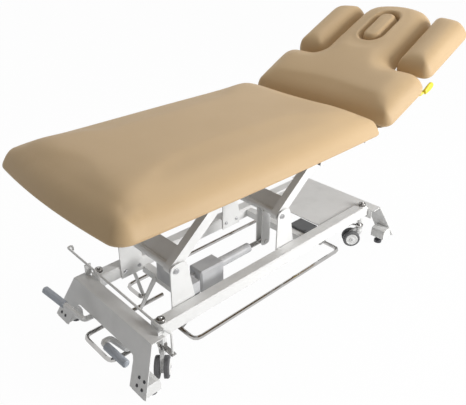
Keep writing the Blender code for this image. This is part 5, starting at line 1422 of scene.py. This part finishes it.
@dataclass
class MassageTable:
    """The dressed table: finishes, upholstery, fasteners and castors.

    Attributes:
        cushions: the stuffed pads.
        fasteners: the screws.
        castors: the castors' trim.
        paddle: the release lever's end.
    """

    cushions: Sequence[Cushion]
    fasteners: Fasteners
    castors: Sequence[CastorDress]
    paddle: LeverPaddle

    def build(self) -> None:
        """Dress the whole table."""
        self.finish_nodes()
        for cushion in self.cushions:
            cushion.build()
        self.fasteners.build()
        for castor in self.castors:
            castor.build()
        self.paddle.build()

    def finish_nodes(self) -> None:
        """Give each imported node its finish."""
        for name, obj in NODES.items():
            finish = NODE_FINISH.get(name, WHITE)
            for place in obj.material_slots:
                place.material = finish.material()


PLUG_MIDDLE = 0.516


def flipped(side: Sequence[Corner]) -> tuple[Corner, ...]:
    """Mirror images of corners, in reverse order so that they stay anticlockwise."""
    return tuple(Corner(corner.along, -corner.across, corner.radius)
                 for corner in reversed(side))


def mirrored(side: Sequence[Corner]) -> tuple[Corner, ...]:
    """Near-side corners, followed by their mirror images on the far side."""
    return tuple(side) + flipped(side)


def face_opening(half_length: float, half_width: float, radius: float) -> tuple[Corner, ...]:
    """Corners of a long rounded form around the middle of the face plug."""
    return mirrored((Corner(PLUG_MIDDLE - half_length, -half_width, radius),
                     Corner(PLUG_MIDDLE + half_length, -half_width, radius)))


def cushions() -> list[Cushion]:
    """The five stuffed pads."""
    main = mirrored((Corner(-0.868, -0.341, 0.050), Corner(0.240, -0.345, 0.030)))
    head = mirrored((Corner(0.036, -0.338, 0.034), Corner(0.302, -0.346, 0.070),
                     Corner(0.323, -0.172, 0.034), Corner(0.674, -0.162, 0.055)))
    hole = face_opening(0.0960, 0.0478, 0.0440)
    plug = face_opening(0.0940, 0.0460, 0.0420)
    near = (Corner(0.332, -0.328, 0.034), Corner(0.655, -0.328, 0.058),
            Corner(0.674, -0.167, 0.038), Corner(0.330, -0.176, 0.034))
    arms = [
        Cushion(f"arm_pad_{name}", f"pad_{name}", HEAD_SEAT, HINGE, outline,
                crown=0.002, rise=0.008, bow=(0.0, 0.006, 0.0), swell=0.003, grid=0.006)
        for name, outline in (("near", near), ("far", flipped(near)))
    ]
    return [
        Cushion("main_cushion", "top", UP, Vector(), main, roll=0.125,
                crown=0.010, rise=0.020, bow=(0.020, 0.010, 0.008), swell=0.005,
                grid=0.010, soften=40),
        Cushion("head_cushion", "head_section", HEAD_SEAT, HINGE, head, holes=(hole,),
                roll=0.095, crown=0.006, rise=0.014, bow=(0.0, 0.045, 0.0), swell=0.004,
                soften=30),
        *arms,
        Cushion("face_plug", "plug", HEAD_SEAT, HINGE, plug, roll=0.024, crown=0.002,
                rise=0.009, swell=0.002, fill=0.8, grid=0.005),
    ]


def lever_paddle() -> LeverPaddle:
    """The paddle, over the outer end of the lever's grip."""
    along = FAR.cross(HEAD_SEAT)
    shape = merged("release_lever")
    outermost = min(vert.co.y for vert in shape.verts)
    end = [vert.co for vert in shape.verts if vert.co.y < outermost + GRIP_END]
    far = max(end, key=lambda place: place.dot(along))
    middle = sum(end, Vector()) / len(end)
    tip = middle + along * (far - middle).dot(along)
    shape.free()
    return LeverPaddle(start=tip - along * PADDLE_BACK, end=tip + along * PADDLE_AHEAD)


STUDIO = Studio(
    eye=Vector((-1.39439, -1.2644, 1.3298)),
    turn=-43.195,
    tilt=28.611,
    lens=41.12,
    shift=(0.01704, 0.001),
    lamps=(
        Lamp("key", Vector((1.4, -3.3, 1.5)), Vector((0.0, 0.0, 0.5)), 1.8, 126.0),
        Lamp("top", Vector((0.9, 0.3, 3.6)), Vector((0.0, 0.0, 0.6)), 2.4, 34.0),
    ),
    ambient=0.33,
)


def main() -> None:
    """Dress the table and set up the studio."""
    logging.basicConfig(level=logging.INFO, format="%(name)s %(message)s")
    table = MassageTable(
        cushions=cushions(),
        fasteners=Fasteners(screw_sets()),
        castors=[CastorDress(name) for name in STEMS],
        paddle=lever_paddle(),
    )
    table.build()
    STUDIO.build()
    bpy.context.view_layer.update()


if __name__ == "__main__":
    main()
